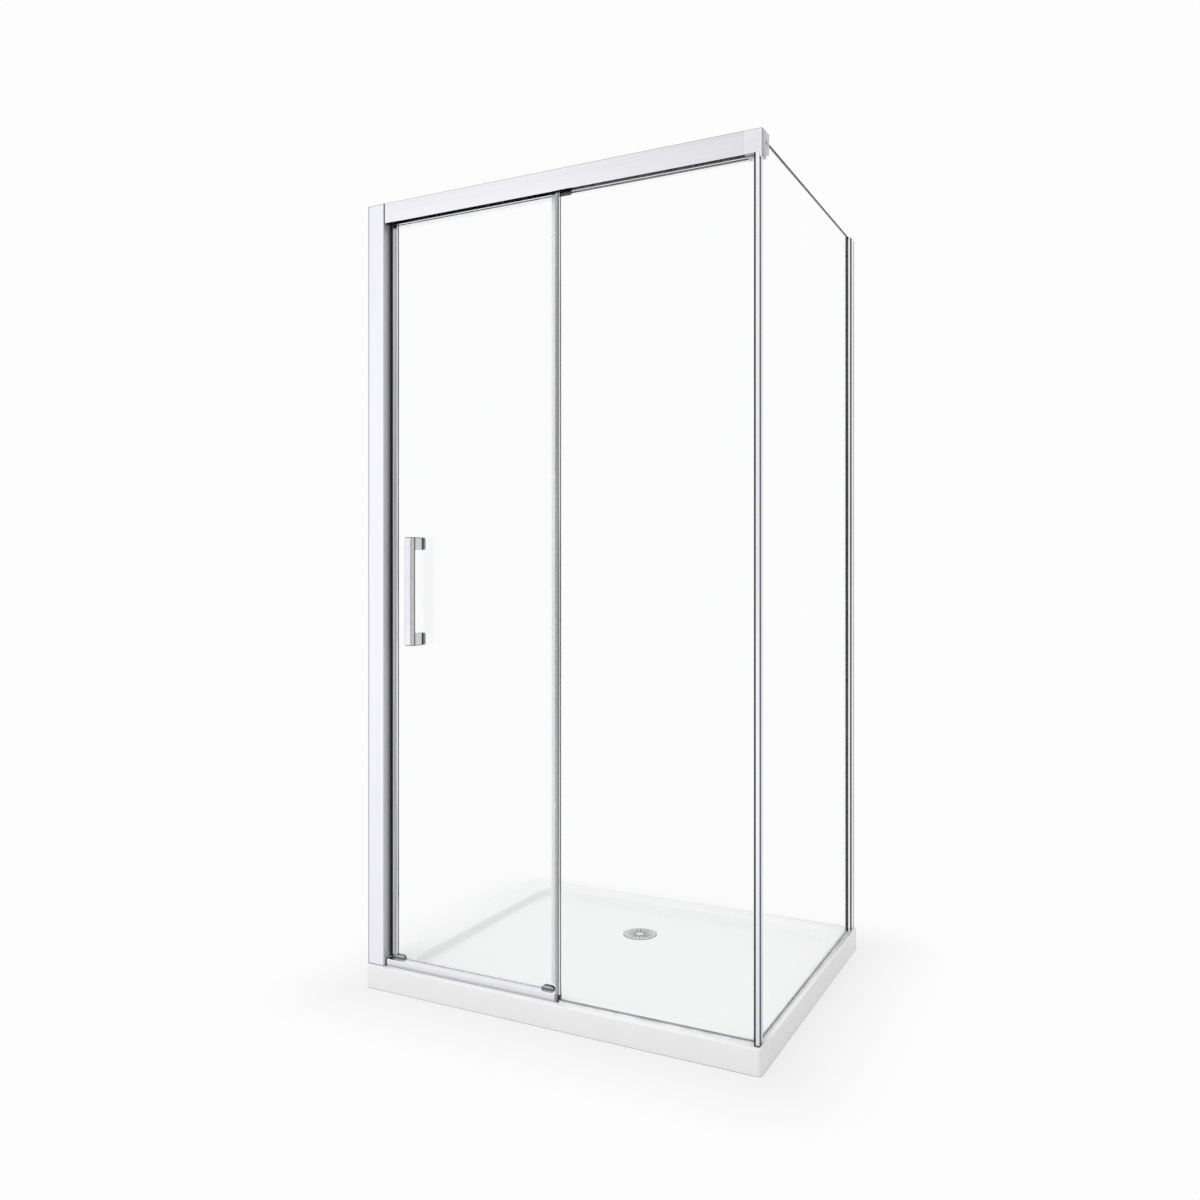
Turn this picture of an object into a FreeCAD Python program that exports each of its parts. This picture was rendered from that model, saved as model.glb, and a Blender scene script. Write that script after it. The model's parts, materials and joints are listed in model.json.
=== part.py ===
import FreeCAD, Part
import os
import re

import Sketcher

# Corner shower enclosure on a low tray: sliding door and fixed glass in front, side glass on the right.
# +X runs to the right along the front, +Y to the back wall, +Z up. The origin is the centre of the
# tray's underside. The wall posts stand against a wall on the left and a wall at the back.

doc = FreeCAD.newDocument("ShowerEnclosure")

# ---------------------------------------------------------------- driving dimensions, in millimetres

SIZES = [
    ("tray_width", 1000, "tray, left to right"),
    ("tray_depth", 800, "tray, front to back"),
    ("tray_height", 55, "tray, floor to rim"),
    ("tray_corner", 10, "outer corner radius of the tray"),
    ("tray_edge", 1.5, "bevel of the rim's outer edge"),
    ("rim_left", 78, "rim width beside the wall post"),
    ("rim_right", 61, "rim width under the side glass"),
    ("rim_front", 61, "rim width under the door"),
    ("rim_rear", 66, "rim width at the back wall"),
    ("basin_corner", 55, "corner radius of the basin at the rim"),
    ("basin_depth", 17, "rim to the floor's edge"),
    ("basin_run", 12, "how far the basin's wall slopes inwards"),
    ("basin_fall", 6, "fall of the floor towards the waste"),
    ("fall_margin", 18, "level margin round the sloping floor"),
    ("skirt", 38, "solid edge round the tray's underside"),
    ("rib", 18, "rib between two cells of the underside"),
    ("cell_depth", 12, "depth of the underside's cells"),
    ("cells_across", 5, "cells from left to right"),
    ("cells_deep", 4, "cells from front to back"),
    ("waste_x", 476, "waste centre from the tray's left edge"),
    ("waste_y", 553, "waste centre from the tray's front edge"),
    ("waste_land", 60, "half width of the level land round the waste"),
    ("waste_recess", 4, "depth of the recess that holds the flange"),
    ("flange_radius", 45, "outer radius of the waste flange"),
    ("flange_proud", 0.8, "how far the flange stands above the floor"),
    ("sleeve_radius", 35, "outer radius of the threaded sleeve under the flange"),
    ("outlet_radius", 31, "bore radius of the sleeve"),
    ("outlet_end", 2, "lower end of the sleeve above the ground"),
    ("clamp_thickness", 12, "tray between the flange's recess and the back nut"),
    ("nut_radius", 42, "outer radius of the back nut"),
    ("nut_thickness", 5, "thickness of the back nut"),
    ("strainer_rim", 36, "outer radius of the strainer"),
    ("strainer_sheet", 1.5, "sheet of the strainer"),
    ("strainer_slots", 16, "slots in the strainer"),
    ("slot_width", 3.4, "width of one slot"),
    ("enclosure_height", 1840, "rim to the top of the head rail"),
    ("frame_setback", 9, "front of the frame behind the tray's front edge"),
    ("glass", 6, "thickness of every pane"),
    ("fixed_inset", 11, "front of the fixed glass behind the frame's front"),
    ("pane_gap", 9, "gap between the fixed glass and the door glass"),
    ("seat", 0.1, "clearance between pieces that are fixed together"),
    ("free", 0.3, "clearance between a moving piece and what it rests on"),
    ("post_width", 48, "wall post, left to right"),
    ("post_depth", 36, "wall post, front to back"),
    ("post_wall", 1.6, "wall of the post profile"),
    ("strike_width", 12, "magnetic strip in the post"),
    ("strike_depth", 2.5, "groove that holds the strip"),
    ("strike_proud", 1.5, "how far the strip stands out of the post"),
    ("strike_inset", 1, "strip's groove from the post's rear face"),
    ("channel_reach", 30, "how far the wall channel reaches from the wall"),
    ("channel_web", 2, "web of the wall channel against the wall"),
    ("channel_wall", 1.6, "flange of the wall channel"),
    ("channel_slip", 0.4, "play of the post on the wall channel"),
    ("hole_radius", 2.6, "screw hole to the wall"),
    ("hole_end", 120, "outer wall holes from the channel's ends"),
    ("lock_from_wall", 14, "locking screws from the wall"),
    ("lock_low", 150, "lowest locking screw above the rim"),
    ("lock_count", 2, "locking screws in a row"),
    ("lock_radius", 1.75, "shank radius of a locking screw"),
    ("lock_length", 9, "shank length of a locking screw"),
    ("lock_head", 3.8, "corner radius of a locking screw's hexagonal head"),
    ("lock_head_height", 2.2, "head height of a locking screw"),
    ("cap_plate", 2, "plate of a post's top cap"),
    ("cap_plug", 8, "how far a top cap reaches into its post"),
    ("header_height", 48, "head rail, bottom to top"),
    ("header_depth", 44, "head rail, front to back"),
    ("header_wall", 1.8, "wall of the head rail"),
    ("header_web", 20.3, "web between glass pocket and track, from the front"),
    ("front_ledge", 2.7, "width of the track's front ledge"),
    ("rear_ledge", 8.2, "width of the track's rear ledge"),
    ("bead_width", 1.4, "bead that guides the rollers"),
    ("bead_height", 1.5, "height of the bead"),
    ("roller_gap", 1.5, "rollers from the track's rear wall"),
    ("bead_gap", 0.3, "bead in front of the rollers"),
    ("bracket_plate", 2.8, "bracket plate between post and head rail"),
    ("bracket_screw_y", 16, "bracket's screw behind the frame's front"),
    ("bracket_screw_z", 20, "bracket's screw above the head rail's underside"),
    ("bracket_tongue", 34, "length of the bracket's tongue"),
    ("block_width", 39, "corner block, left to right"),
    ("cheek", 5.7, "thickness of the corner block's cheek"),
    ("cheek_drop", 11, "cheek below the head rail at its front"),
    ("cheek_rise", 6, "cheek above the head rail's bottom at its rear"),
    ("block_edge", 2, "rounding of the corner block's outer edges"),
    ("side_setback", 13.5, "outer face of the side glass from the tray's right edge"),
    ("side_top", 2, "side glass below the head rail's top"),
    ("opening_split", 518.5, "edge profile of the fixed glass from the left wall"),
    ("closing_gap", 9, "post to the door's closing profile"),
    ("lead_width", 12.5, "door's closing profile, left to right"),
    ("lead_web", 3, "web of the closing profile"),
    ("profile_depth", 12, "front to back of both slim edge profiles"),
    ("edge_width", 10.8, "edge profile of the fixed glass, left to right"),
    ("edge_web", 2.2, "web of that edge profile"),
    ("trailing_gap", 8.5, "door glass to the fixed glass's edge profile"),
    ("door_lift", 9, "door glass above the rim"),
    ("door_entry", 29, "door glass above the head rail's bottom"),
    ("fixed_lift", 2.2, "fixed and side glass above the rim"),
    ("fixed_entry", 15, "fixed glass above the head rail's bottom"),
    ("seal_wall", 1.2, "wall of the clear seals"),
    ("trail_cover", 10, "how far the trailing seal grips the glass"),
    ("foot_seal_height", 5.4, "height of the foot seals"),
    ("foot_seal_wall", 1.4, "wall of the foot seals"),
    ("sweep_height", 11, "height of the door's foot seal"),
    ("sweep_drop", 3.4, "how far its lips reach below the glass"),
    ("handle_x", 132.7, "handle's middle from the left wall"),
    ("handle_z", 960, "handle's middle above the ground"),
    ("handle_length", 258, "handle, bottom to top"),
    ("handle_width", 19, "handle, left to right"),
    ("handle_bar", 18, "handle's bar, front to back"),
    ("handle_stand", 45, "front of the handle to the glass"),
    ("handle_leg", 30, "height of a leg"),
    ("handle_round", 8, "outer corners of the handle"),
    ("handle_inner_round", 4, "inner corners of the handle"),
    ("handle_edge", 1.2, "bevel of the bar's long edges"),
    ("washer", 0.8, "clear washer under each leg and cap"),
    ("cap_stand", 10.5, "inner cap, glass to its face"),
    ("cap_round", 5, "corner radius of an inner cap"),
    ("stud_radius", 3, "stud that ties a leg to its cap"),
    ("stud_bite", 13, "stud's reach into the leg"),
    ("clamp_screw", 3, "radius of the corner block's set screw, which holds the side glass"),
    ("clamp_inset", 0.8, "set screw below the cheek's face"),
    ("glass_hole", 6, "radius of a handle hole in the glass"),
    ("roller_inset", 45, "roller axle from the glass's side edges"),
    ("roller_radius", 9, "radius of a roller"),
    ("roller_width", 5.4, "width of a roller"),
    ("axle_radius", 3, "axle that the roller turns on"),
    ("axle_clearance", 0.05, "radial running clearance of the roller"),
    ("rolling_gap", 0.1, "roller above its bead"),
    ("shank_radius", 5.9, "axle bolt where it passes the glass"),
    ("collar_radius", 7.6, "corner radius of the hexagonal collar behind the glass"),
    ("collar_thickness", 2.4, "thickness of that collar"),
    ("nut_face_radius", 8.2, "corner radius of the axle nut in front of the glass"),
    ("nut_face_thickness", 3, "thickness of the axle nut"),
    ("travel", 360, "travel of the door"),
    ("stop_length", 18, "length of an end stop"),
    ("stop_margin", 1, "end stop to the roller at the end of the travel"),
    ("sill_height", 17, "threshold rail, rim to top"),
    ("sill_depth", 31.5, "threshold rail, front to back"),
    ("sill_box", 14, "front box of the threshold rail"),
    ("sill_wall", 1.6, "wall of the threshold rail"),
    ("sill_floor", 1.8, "floor of the threshold rail"),
    ("sill_lip", 6, "height of the threshold rail's rear lip"),
    ("sill_setback", 7, "front of the threshold rail behind the frame's front"),
    ("sill_end", 1.3, "end cap's left face from the edge profile"),
    ("end_cap", 10.3, "length of the threshold's end cap"),
    ("end_cap_depth", 17, "end cap, front to back"),
    ("end_lug", 14, "lug of the end cap above the threshold"),
    ("end_block", 3, "black block between post and threshold"),
    ("guide_length", 31, "floor guide, left to right"),
    ("guide_gap", 13, "floor guide to the edge profile"),
    ("guide_height", 24.5, "top of both guides above the rim"),
    ("guide_round", 7, "upper corners of both guides"),
    ("corner_guide_length", 34.5, "door's corner guide, left to right"),
    ("corner_guide_depth", 13, "door's corner guide, front to back"),
    ("retainer_length", 26, "glass retainer beside the edge profile"),
    ("retainer_drop", 9, "glass retainer below the head rail"),
    ("retainer_thickness", 2.7, "glass retainer, front to back"),
    ("corner_lip", 6.5, "corner post outside the side glass"),
    ("corner_face", 7.5, "front face of the corner post, left to right"),
    ("corner_cover", 2, "corner post over the side glass's front edge"),
    ("corner_flange", 18, "corner post's reach behind the fixed glass"),
    ("corner_tail", 20, "corner post's reach behind the side glass's front edge"),
    ("corner_tip", 2.8, "thickness of the reach's ends"),
    ("corner_web", 1.8, "web between the two glass rebates"),
    ("corner_wall", 1.6, "wall round the corner post's chamber"),
    ("bead_seal_width", 4, "black glazing bead beside the corner post"),
    ("bead_seal_depth", 10.3, "depth of that bead"),
    ("line_seal_width", 8.5, "black line in the corner post's side"),
    ("line_seal_depth", 1.2, "depth of that line's groove"),
    ("line_seal_inset", 1.8, "that line from the post's front face"),
    ("jamb_width", 14, "side wall profile, left to right"),
    ("jamb_length", 40, "side wall profile, front to back"),
    ("jamb_front", 52, "front of the side wall profile from the back wall"),
    ("jamb_pocket", 15, "depth of its glass pocket"),
    ("jamb_wall", 1.7, "wall of the side wall profile"),
    ("jamb_drop", 4, "side wall profile below the head rail's top"),
    ("side_channel_width", 18, "wall channel at the back wall, left to right"),
    ("side_channel_reach", 28, "wall channel at the back wall, front to back"),
    ("side_channel_wall", 1.6, "flange of that channel"),
]

# Heights and places that follow from the sizes above. Each is a cell with a formula.
LAYOUT = [
    ("left", "-tray_width / 2"),
    ("right", "tray_width / 2"),
    ("front", "-tray_depth / 2"),
    ("rear", "tray_depth / 2"),
    ("floor_edge", "tray_height - basin_depth"),
    ("floor_low", "floor_edge - basin_fall"),
    ("recess_floor", "floor_low - waste_recess"),
    ("cell_width", "(tray_width - 2 * skirt - (cells_across - 1) * rib) / cells_across"),
    ("cell_length", "(tray_depth - 2 * skirt - (cells_deep - 1) * rib) / cells_deep"),
    ("waste_ceiling", "recess_floor - clamp_thickness"),
    ("flange_under", "recess_floor + seat"),
    ("flange_top", "floor_low + flange_proud"),
    ("strainer_seat", "flange_top - 2"),
    ("frame_front", "front + frame_setback"),
    ("head_top", "tray_height + enclosure_height"),
    ("head_low", "head_top - header_height"),
    ("post_right", "left + post_width"),
    ("header_left", "post_right + bracket_plate + 2 * seat"),
    ("frame_right", "side_outer + corner_lip + cheek + 0.3"),
    ("block_left", "frame_right - block_width"),
    ("fixed_front", "frame_front + fixed_inset"),
    ("fixed_rear", "fixed_front + glass"),
    ("door_front", "fixed_rear + pane_gap"),
    ("door_rear", "door_front + glass"),
    ("door_middle", "door_front + glass / 2"),
    ("side_outer", "right - side_setback"),
    ("side_inner", "side_outer - glass"),
    ("side_middle", "side_outer - glass / 2"),
    ("lead_left", "post_right + closing_gap"),
    ("door_left", "lead_left + lead_web"),
    ("mid_left", "left + opening_split"),
    ("door_right", "mid_left - trailing_gap"),
    ("door_low", "tray_height + door_lift"),
    ("door_top", "head_low + door_entry"),
    ("fixed_left", "mid_left + edge_web + seat"),
    ("fixed_low", "tray_height + fixed_lift"),
    ("fixed_top", "head_low + fixed_entry"),
    ("post_outer", "side_outer + corner_lip"),
    ("post_face_left", "post_outer - corner_face"),
    ("side_front", "fixed_rear + seat + corner_web + seat"),
    ("fixed_right", "side_inner + corner_cover + 1"),
    ("profile_grip", "profile_depth / 2 - glass / 2"),
    ("track_rear", "frame_front + header_depth - header_wall"),
    ("bead_from_wall", "roller_gap + roller_width + bead_gap"),
    ("roller_middle", "track_rear - roller_gap - roller_width / 2"),
    ("roller_z", "head_low + header_wall + rolling_gap + roller_radius"),
    ("roller_first", "door_left + roller_inset"),
    ("roller_second", "door_right - roller_inset"),
    ("guide_top", "tray_height + guide_height"),
    ("sill_front", "frame_front + sill_setback"),
    ("sill_left", "post_right + end_block + 2 * seat"),
    ("sill_right", "mid_left - sill_end"),
    ("track_floor", "tray_height + sill_floor"),
    ("handle_low", "handle_z - handle_length / 2"),
    ("jamb_top", "head_top - jamb_drop"),
]


def fill_sheet(name, rows):
    sheet = doc.addObject("Spreadsheet::Sheet", name)
    for number, row in enumerate(rows, 1):
        alias, content = row[0], row[1]
        sheet.set(f"A{number}", alias)
        sheet.set(f"B{number}", str(content))
        sheet.setAlias(f"B{number}", alias)
        if len(row) > 2:
            sheet.set(f"C{number}", row[2])
    return sheet


size_names = {row[0] for row in SIZES}
layout_names = {row[0] for row in LAYOUT}


def spelled(text, own_sheet=None):
    """Put the sheet's name before each alias in an expression."""

    def owner(match):
        word = match.group(0)
        if word in size_names:
            return f"Sizes.{word}"
        if word in layout_names:
            return word if own_sheet == "Layout" else f"Layout.{word}"
        return word

    return re.sub(r"[a-z][a-z_]*", owner, text)


fill_sheet("Sizes", SIZES)
fill_sheet("Layout", [(alias, "=" + spelled(text, "Layout")) for alias, text in LAYOUT])
doc.recompute()

pieces = []

# ---------------------------------------------------------------- modelling helpers


def bind(item, path, text):
    """Tie a property to the sheets."""
    item.setExpression(path, spelled(str(text)))


def piece(label, x="0", y="0", z="0"):
    """A body with its own label, placed by three expressions."""
    body = doc.addObject("PartDesign::Body", label)
    body.Label = label
    bind(body, "Placement.Base.x", x)
    bind(body, "Placement.Base.y", y)
    bind(body, "Placement.Base.z", z)
    pieces.append(body)
    return body


def origin_item(body, role):
    return [item for item in body.Origin.OriginFeatures if item.Role == role][0]


def sketch(body, plane, outlines=(), circles=(), lift=None):
    """A sketch on one of the body's own planes, with closed outlines and circles given as expressions."""
    item = body.newObject("Sketcher::SketchObject", "Sketch")
    item.AttachmentSupport = [(origin_item(body, plane + "_Plane"), "")]
    item.MapMode = "FlatFace"
    if lift is not None:
        bind(item, "AttachmentOffset.Base.z", lift)
    for points in outlines:
        draw_outline(item, points)
    for x, y, radius in circles:
        draw_circle(item, x, y, radius)
    return item


def pin_point(item, geometry, point, x, y):
    """Fix one point of a sketch by its two distances from the sketch's origin."""
    for kind, text in (("DistanceX", x), ("DistanceY", y)):
        number = item.addConstraint(Sketcher.Constraint(kind, -1, 1, geometry, point, 1.0))
        bind(item, f"Constraints[{number}]", text)


def draw_outline(item, points):
    """Straight edges through points; each point is a pair of expressions."""
    first = item.GeometryCount
    count = len(points)
    spread = [FreeCAD.Vector(10, 0, 0)]
    for number in range(1, count):
        turned = FreeCAD.Rotation(FreeCAD.Vector(0, 0, 1), 360.0 * number / count)
        spread.append(turned.multVec(spread[0]))
    for number in range(count):
        item.addGeometry(Part.LineSegment(spread[number], spread[(number + 1) % count]))
    for number in range(count):
        following = first + (number + 1) % count
        item.addConstraint(Sketcher.Constraint("Coincident", first + number, 2, following, 1))
    for number, (x, y) in enumerate(points):
        pin_point(item, first + number, 1, x, y)


def draw_circle(item, x, y, radius):
    circle = Part.Circle(FreeCAD.Vector(1, 1, 0), FreeCAD.Vector(0, 0, 1), 5)
    geometry = item.addGeometry(circle)
    pin_point(item, geometry, 3, x, y)
    number = item.addConstraint(Sketcher.Constraint("Radius", geometry, 5.0))
    bind(item, f"Constraints[{number}]", radius)


def rectangle(x_low, y_low, x_high, y_high):
    return [(x_low, y_low), (x_high, y_low), (x_high, y_high), (x_low, y_high)]


def regular_outline(radius, corners):
    """Corners of a regular outline round the sketch's origin, as shares of its radius."""
    points = []
    for number in range(corners):
        turned = FreeCAD.Rotation(FreeCAD.Vector(0, 0, 1), 360.0 * number / corners)
        corner = turned.multVec(FreeCAD.Vector(1, 0, 0))
        points.append((f"{corner.x:.6f} * {radius}", f"{corner.y:.6f} * {radius}"))
    return points


def rounded_sketch(body, lift, x_low, y_low, x_high, y_high, radius):
    """A rectangle with round corners, level, at a height in its body."""
    item = sketch(body, "XY", lift=lift)
    low, high, turn = 0.0, 200.0, 30.0
    quarter = 1.5707963267948966
    lines = [
        ((low + turn, low), (high - turn, low)),
        ((high, low + turn), (high, high - turn)),
        ((high - turn, high), (low + turn, high)),
        ((low, high - turn), (low, low + turn)),
    ]
    centres = [(high - turn, low + turn), (high - turn, high - turn), (low + turn, high - turn)]
    centres.append((low + turn, low + turn))
    for start, end in lines:
        item.addGeometry(Part.LineSegment(FreeCAD.Vector(*start, 0), FreeCAD.Vector(*end, 0)))
    for number, centre in enumerate(centres):
        circle = Part.Circle(FreeCAD.Vector(*centre, 0), FreeCAD.Vector(0, 0, 1), turn)
        begin = (number - 1) * quarter
        item.addGeometry(Part.ArcOfCircle(circle, begin, begin + quarter))
    for number in range(4):
        arc = 4 + number
        following = (number + 1) % 4
        item.addConstraint(Sketcher.Constraint("Tangent", number, 2, arc, 1))
        item.addConstraint(Sketcher.Constraint("Tangent", arc, 2, following, 1))
    item.addConstraint(Sketcher.Constraint("Horizontal", 0))
    item.addConstraint(Sketcher.Constraint("Vertical", 1))
    item.addConstraint(Sketcher.Constraint("Horizontal", 2))
    item.addConstraint(Sketcher.Constraint("Vertical", 3))
    for number in (5, 6, 7):
        item.addConstraint(Sketcher.Constraint("Equal", 4, number))
    for kind, geometry, value, text in (
        ("DistanceX", 3, low, x_low),
        ("DistanceX", 1, high, x_high),
        ("DistanceY", 0, low, y_low),
        ("DistanceY", 2, high, y_high),
    ):
        number = item.addConstraint(Sketcher.Constraint(kind, -1, 1, geometry, 1, value))
        bind(item, f"Constraints[{number}]", text)
    number = item.addConstraint(Sketcher.Constraint("Radius", 4, turn))
    bind(item, f"Constraints[{number}]", radius)
    return item


def add_feature(body, kind, profile=None):
    item = body.newObject(kind, kind.split("::")[1])
    if profile is not None:
        item.Profile = profile
    body.Tip = item
    return item


def pad(body, profile, length, backwards=False):
    item = add_feature(body, "PartDesign::Pad", profile)
    item.Reversed = backwards
    bind(item, "Length", length)
    return item


def pocket(body, profile, length, along_normal=False):
    """Cut against the sketch's normal, or along it."""
    item = add_feature(body, "PartDesign::Pocket", profile)
    item.Reversed = along_normal
    bind(item, "Length", length)
    return item


def revolve(body, outline, plane="XZ", turn_axis="V_Axis"):
    """Turn an outline round an axis of its sketch."""
    profile = sketch(body, plane, [outline])
    item = add_feature(body, "PartDesign::Revolution", profile)
    item.ReferenceAxis = (profile, [turn_axis])
    item.Angle = 360
    return item


def repeat_line(body, feature, axis, spacing, count):
    """Repeat a feature along one of the body's axes at a spacing."""
    doc.recompute()
    item = add_feature(body, "PartDesign::LinearPattern")
    item.Originals = [feature]
    item.Direction = (origin_item(body, axis + "_Axis"), [""])
    item.Mode = "Spacing"
    bind(item, "Offset", spacing)
    bind(item, "Occurrences", count)
    return item


def repeat_round(body, feature, count):
    doc.recompute()
    item = add_feature(body, "PartDesign::PolarPattern")
    item.Originals = [feature]
    item.Axis = (origin_item(body, "Z_Axis"), [""])
    item.Angle = 360
    bind(item, "Occurrences", count)
    return item


def repeat_all(body, axis, spacing, count, backwards=False):
    """Repeat everything the body holds so far along one of its axes."""
    doc.recompute()
    item = add_feature(body, "PartDesign::LinearPattern")
    item.TransformMode = "Whole shape"
    item.Direction = (origin_item(body, axis + "_Axis"), [""])
    item.Reversed = backwards
    item.Mode = "Spacing"
    bind(item, "Offset", spacing)
    bind(item, "Occurrences", count)
    return item


def is_straight(edge, axis):
    """Is an edge a straight one along an axis?"""
    box = edge.BoundBox
    spans = {"x": box.XLength, "y": box.YLength, "z": box.ZLength}
    across = [span for name, span in spans.items() if name != axis]
    return spans[axis] > 0.5 and max(across) < 1e-6


def lies_at(value, limit, end):
    if end == "inside":
        return limit["low"] + 0.01 < value < limit["high"] - 0.01
    return abs(value - limit[end]) < 1e-4


def edges_at(shape, axis, **ends):
    """Straight edges along an axis, on the named ends of the shape's box or inside it."""
    box = shape.optimalBoundingBox(False, False)
    limits = {
        "x": {"low": box.XMin, "high": box.XMax},
        "y": {"low": box.YMin, "high": box.YMax},
        "z": {"low": box.ZMin, "high": box.ZMax},
    }
    chosen = []
    for number, edge in enumerate(shape.Edges, 1):
        middle = edge.BoundBox.Center
        place = {"x": middle.x, "y": middle.y, "z": middle.z}
        fits = all(lies_at(place[name], limits[name], end) for name, end in ends.items())
        if fits and is_straight(edge, axis):
            chosen.append(f"Edge{number}")
    return chosen


def round_edges(body, radius, *choices):
    """Round the straight edges that each choice names: an axis, and the ends of the box they lie on."""
    doc.recompute()
    base = body.Tip
    names = []
    for axis, ends in choices:
        names += edges_at(base.Shape, axis, **ends)
    item = add_feature(body, "PartDesign::Fillet")
    item.Base = (base, names)
    bind(item, "Radius", radius)
    return item


def bevel_edges(body, size, *choices):
    """Bevel the straight edges that each choice names, and the edges that run on from them smoothly."""
    doc.recompute()
    base = body.Tip
    names = []
    for axis, ends in choices:
        names += edges_at(base.Shape, axis, **ends)
    item = add_feature(body, "PartDesign::Chamfer")
    item.Base = (base, names)
    bind(item, "Size", size)
    return item


def extrusion(label, place, plane, outlines, length):
    """A profile of constant section: drawn on a plane of its body and pulled to a length."""
    body = piece(label, *place)
    pad(body, sketch(body, plane, outlines), length)
    return body


def drill(body, plane, spots, radius, lift, depth, along_normal=False):
    """Round holes in one pocket; lift is where the pocket starts on the plane's normal."""
    circles = [(x, y, radius) for x, y in spots]
    return pocket(body, sketch(body, plane, circles=circles, lift=lift), depth, along_normal)


# ---------------------------------------------------------------- shower tray


def make_tray():
    body = piece("shower_tray")
    outer = rounded_sketch(body, "0", "left", "front", "right", "rear", "tray_corner")
    pad(body, outer, "tray_height")
    doc.recompute()
    top = body.Tip.Shape.BoundBox.ZMax
    names = []
    for number, edge in enumerate(body.Tip.Shape.Edges, 1):
        if edge.BoundBox.ZMin > top - 1e-4:
            names.append(f"Edge{number}")
    bevel = add_feature(body, "PartDesign::Chamfer")
    bevel.Base = (bevel.BaseFeature, names)
    bind(bevel, "Size", "tray_edge")
    rim = rounded_sketch(
        body,
        "tray_height",
        "left + rim_left",
        "front + rim_front",
        "right - rim_right",
        "rear - rim_rear",
        "basin_corner",
    )
    wall = pocket(body, rim, "basin_depth")
    bind(wall, "TaperAngle", "-atan(basin_run / basin_depth)")

    # the floor's fall: a wedge with its broad face at the basin's floor, narrowing to the waste's land
    fall = add_feature(body, "PartDesign::SubtractiveWedge")
    fall.Placement = FreeCAD.Placement(
        FreeCAD.Vector(0, 0, 0),
        FreeCAD.Rotation(FreeCAD.Vector(1, 0, 0), -90),
    )
    bind(fall, "Placement.Base.z", "floor_edge")
    inset = "(basin_run + fall_margin)"
    bind(fall, "Ymin", "0")
    bind(fall, "Ymax", "basin_fall")
    bind(fall, "Xmin", f"left + rim_left + {inset}")
    bind(fall, "Xmax", f"right - rim_right - {inset}")
    bind(fall, "Zmin", f"front + rim_front + {inset}")
    bind(fall, "Zmax", f"rear - rim_rear - {inset}")
    bind(fall, "X2min", "left + waste_x - waste_land")
    bind(fall, "X2max", "left + waste_x + waste_land")
    bind(fall, "Z2min", "front + waste_y - waste_land")
    bind(fall, "Z2max", "front + waste_y + waste_land")
    waste = [("left + waste_x", "front + waste_y")]
    drill(body, "XY", waste, "flange_radius + seat", "floor_low", "waste_recess")
    drill(body, "XY", waste, "sleeve_radius + seat", "recess_floor", "recess_floor")
    outline = rectangle(
        "left + skirt",
        "front + skirt",
        "left + skirt + cell_width",
        "front + skirt + cell_length",
    )
    cell = sketch(body, "XY", [outline])
    first = pocket(body, cell, "cell_depth", along_normal=True)
    doc.recompute()
    grid = add_feature(body, "PartDesign::MultiTransform")
    grid.Originals = [first]
    across = doc.addObject("PartDesign::LinearPattern", "CellsAcross")
    deep = doc.addObject("PartDesign::LinearPattern", "CellsDeep")
    body.addObject(across)
    body.addObject(deep)
    for pattern, axis, span, count in (
        (across, "X", "cell_width + rib", "cells_across"),
        (deep, "Y", "cell_length + rib", "cells_deep"),
    ):
        pattern.Direction = (origin_item(body, axis + "_Axis"), [""])
        pattern.Mode = "Spacing"
        bind(pattern, "Offset", span)
        bind(pattern, "Occurrences", count)
    grid.Transformations = [across, deep]
    body.Tip = grid
    doc.recompute()
    drill(body, "XY", waste, "nut_radius + 8", "0", "waste_ceiling", along_normal=True)


def make_waste():
    place = ("left + waste_x", "front + waste_y", "0")
    body = piece("waste_flange", *place)
    revolve(
        body,
        [
            ("outlet_radius", "outlet_end"),
            ("sleeve_radius", "outlet_end"),
            ("sleeve_radius", "flange_under"),
            ("flange_radius", "flange_under"),
            ("flange_radius", "flange_top"),
            ("strainer_rim + 0.2", "flange_top"),
            ("strainer_rim + 0.2", "strainer_seat"),
            ("outlet_radius", "strainer_seat"),
        ],
    )
    nut = piece("waste_nut", *place)
    low = "waste_ceiling - seat - nut_thickness"
    hexagon = regular_outline("nut_radius", 6)
    face = sketch(nut, "XY", [hexagon], circles=[("0", "0", "sleeve_radius + seat")], lift=low)
    pad(nut, face, "nut_thickness")

    cover = piece("waste_cover", "left + waste_x", "front + waste_y", "strainer_seat + 0.1")
    disc = sketch(cover, "XY", circles=[("0", "0", "strainer_rim")])
    pad(cover, disc, "strainer_sheet")
    slot = rectangle("strainer_rim - 25", "-slot_width / 2", "strainer_rim - 5", "slot_width / 2")
    cut = pocket(cover, sketch(cover, "XY", [slot], lift="strainer_sheet"), "strainer_sheet")
    repeat_round(cover, cut, "strainer_slots")


# ---------------------------------------------------------------- wall post on the left


def row_of(label, place, outline, plane, turn_axis, spacing, count, axis="Z"):
    """Identical turned pieces in a row, kept as one group of solids."""
    body = piece(label, *place)
    revolve(body, outline, plane, turn_axis)
    return repeat_line(body, body.Tip, axis, spacing, count)


def single_screw(body, plane, x, y, seat_at, outward):
    """A hexagonal screw: shank and head along the sketch plane's normal, both from the seat."""
    shank = sketch(body, plane, circles=[(x, y, "lock_radius")], lift=seat_at)
    first = pad(body, shank, "lock_length", backwards=outward > 0)
    corners = [(f"{x} + {u}", f"{y} + {v}") for u, v in regular_outline("lock_head", 6)]
    head = sketch(body, plane, [corners], lift=seat_at)
    return [first, pad(body, head, "lock_head_height", backwards=outward < 0)]


def screw_row(body, plane, x, y, seat_at, outward, axis, spacing, count):
    pair = single_screw(body, plane, x, y, seat_at, outward)
    repeat_line(body, pair[0], axis, spacing, count)
    body.Tip.Originals = pair


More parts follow.
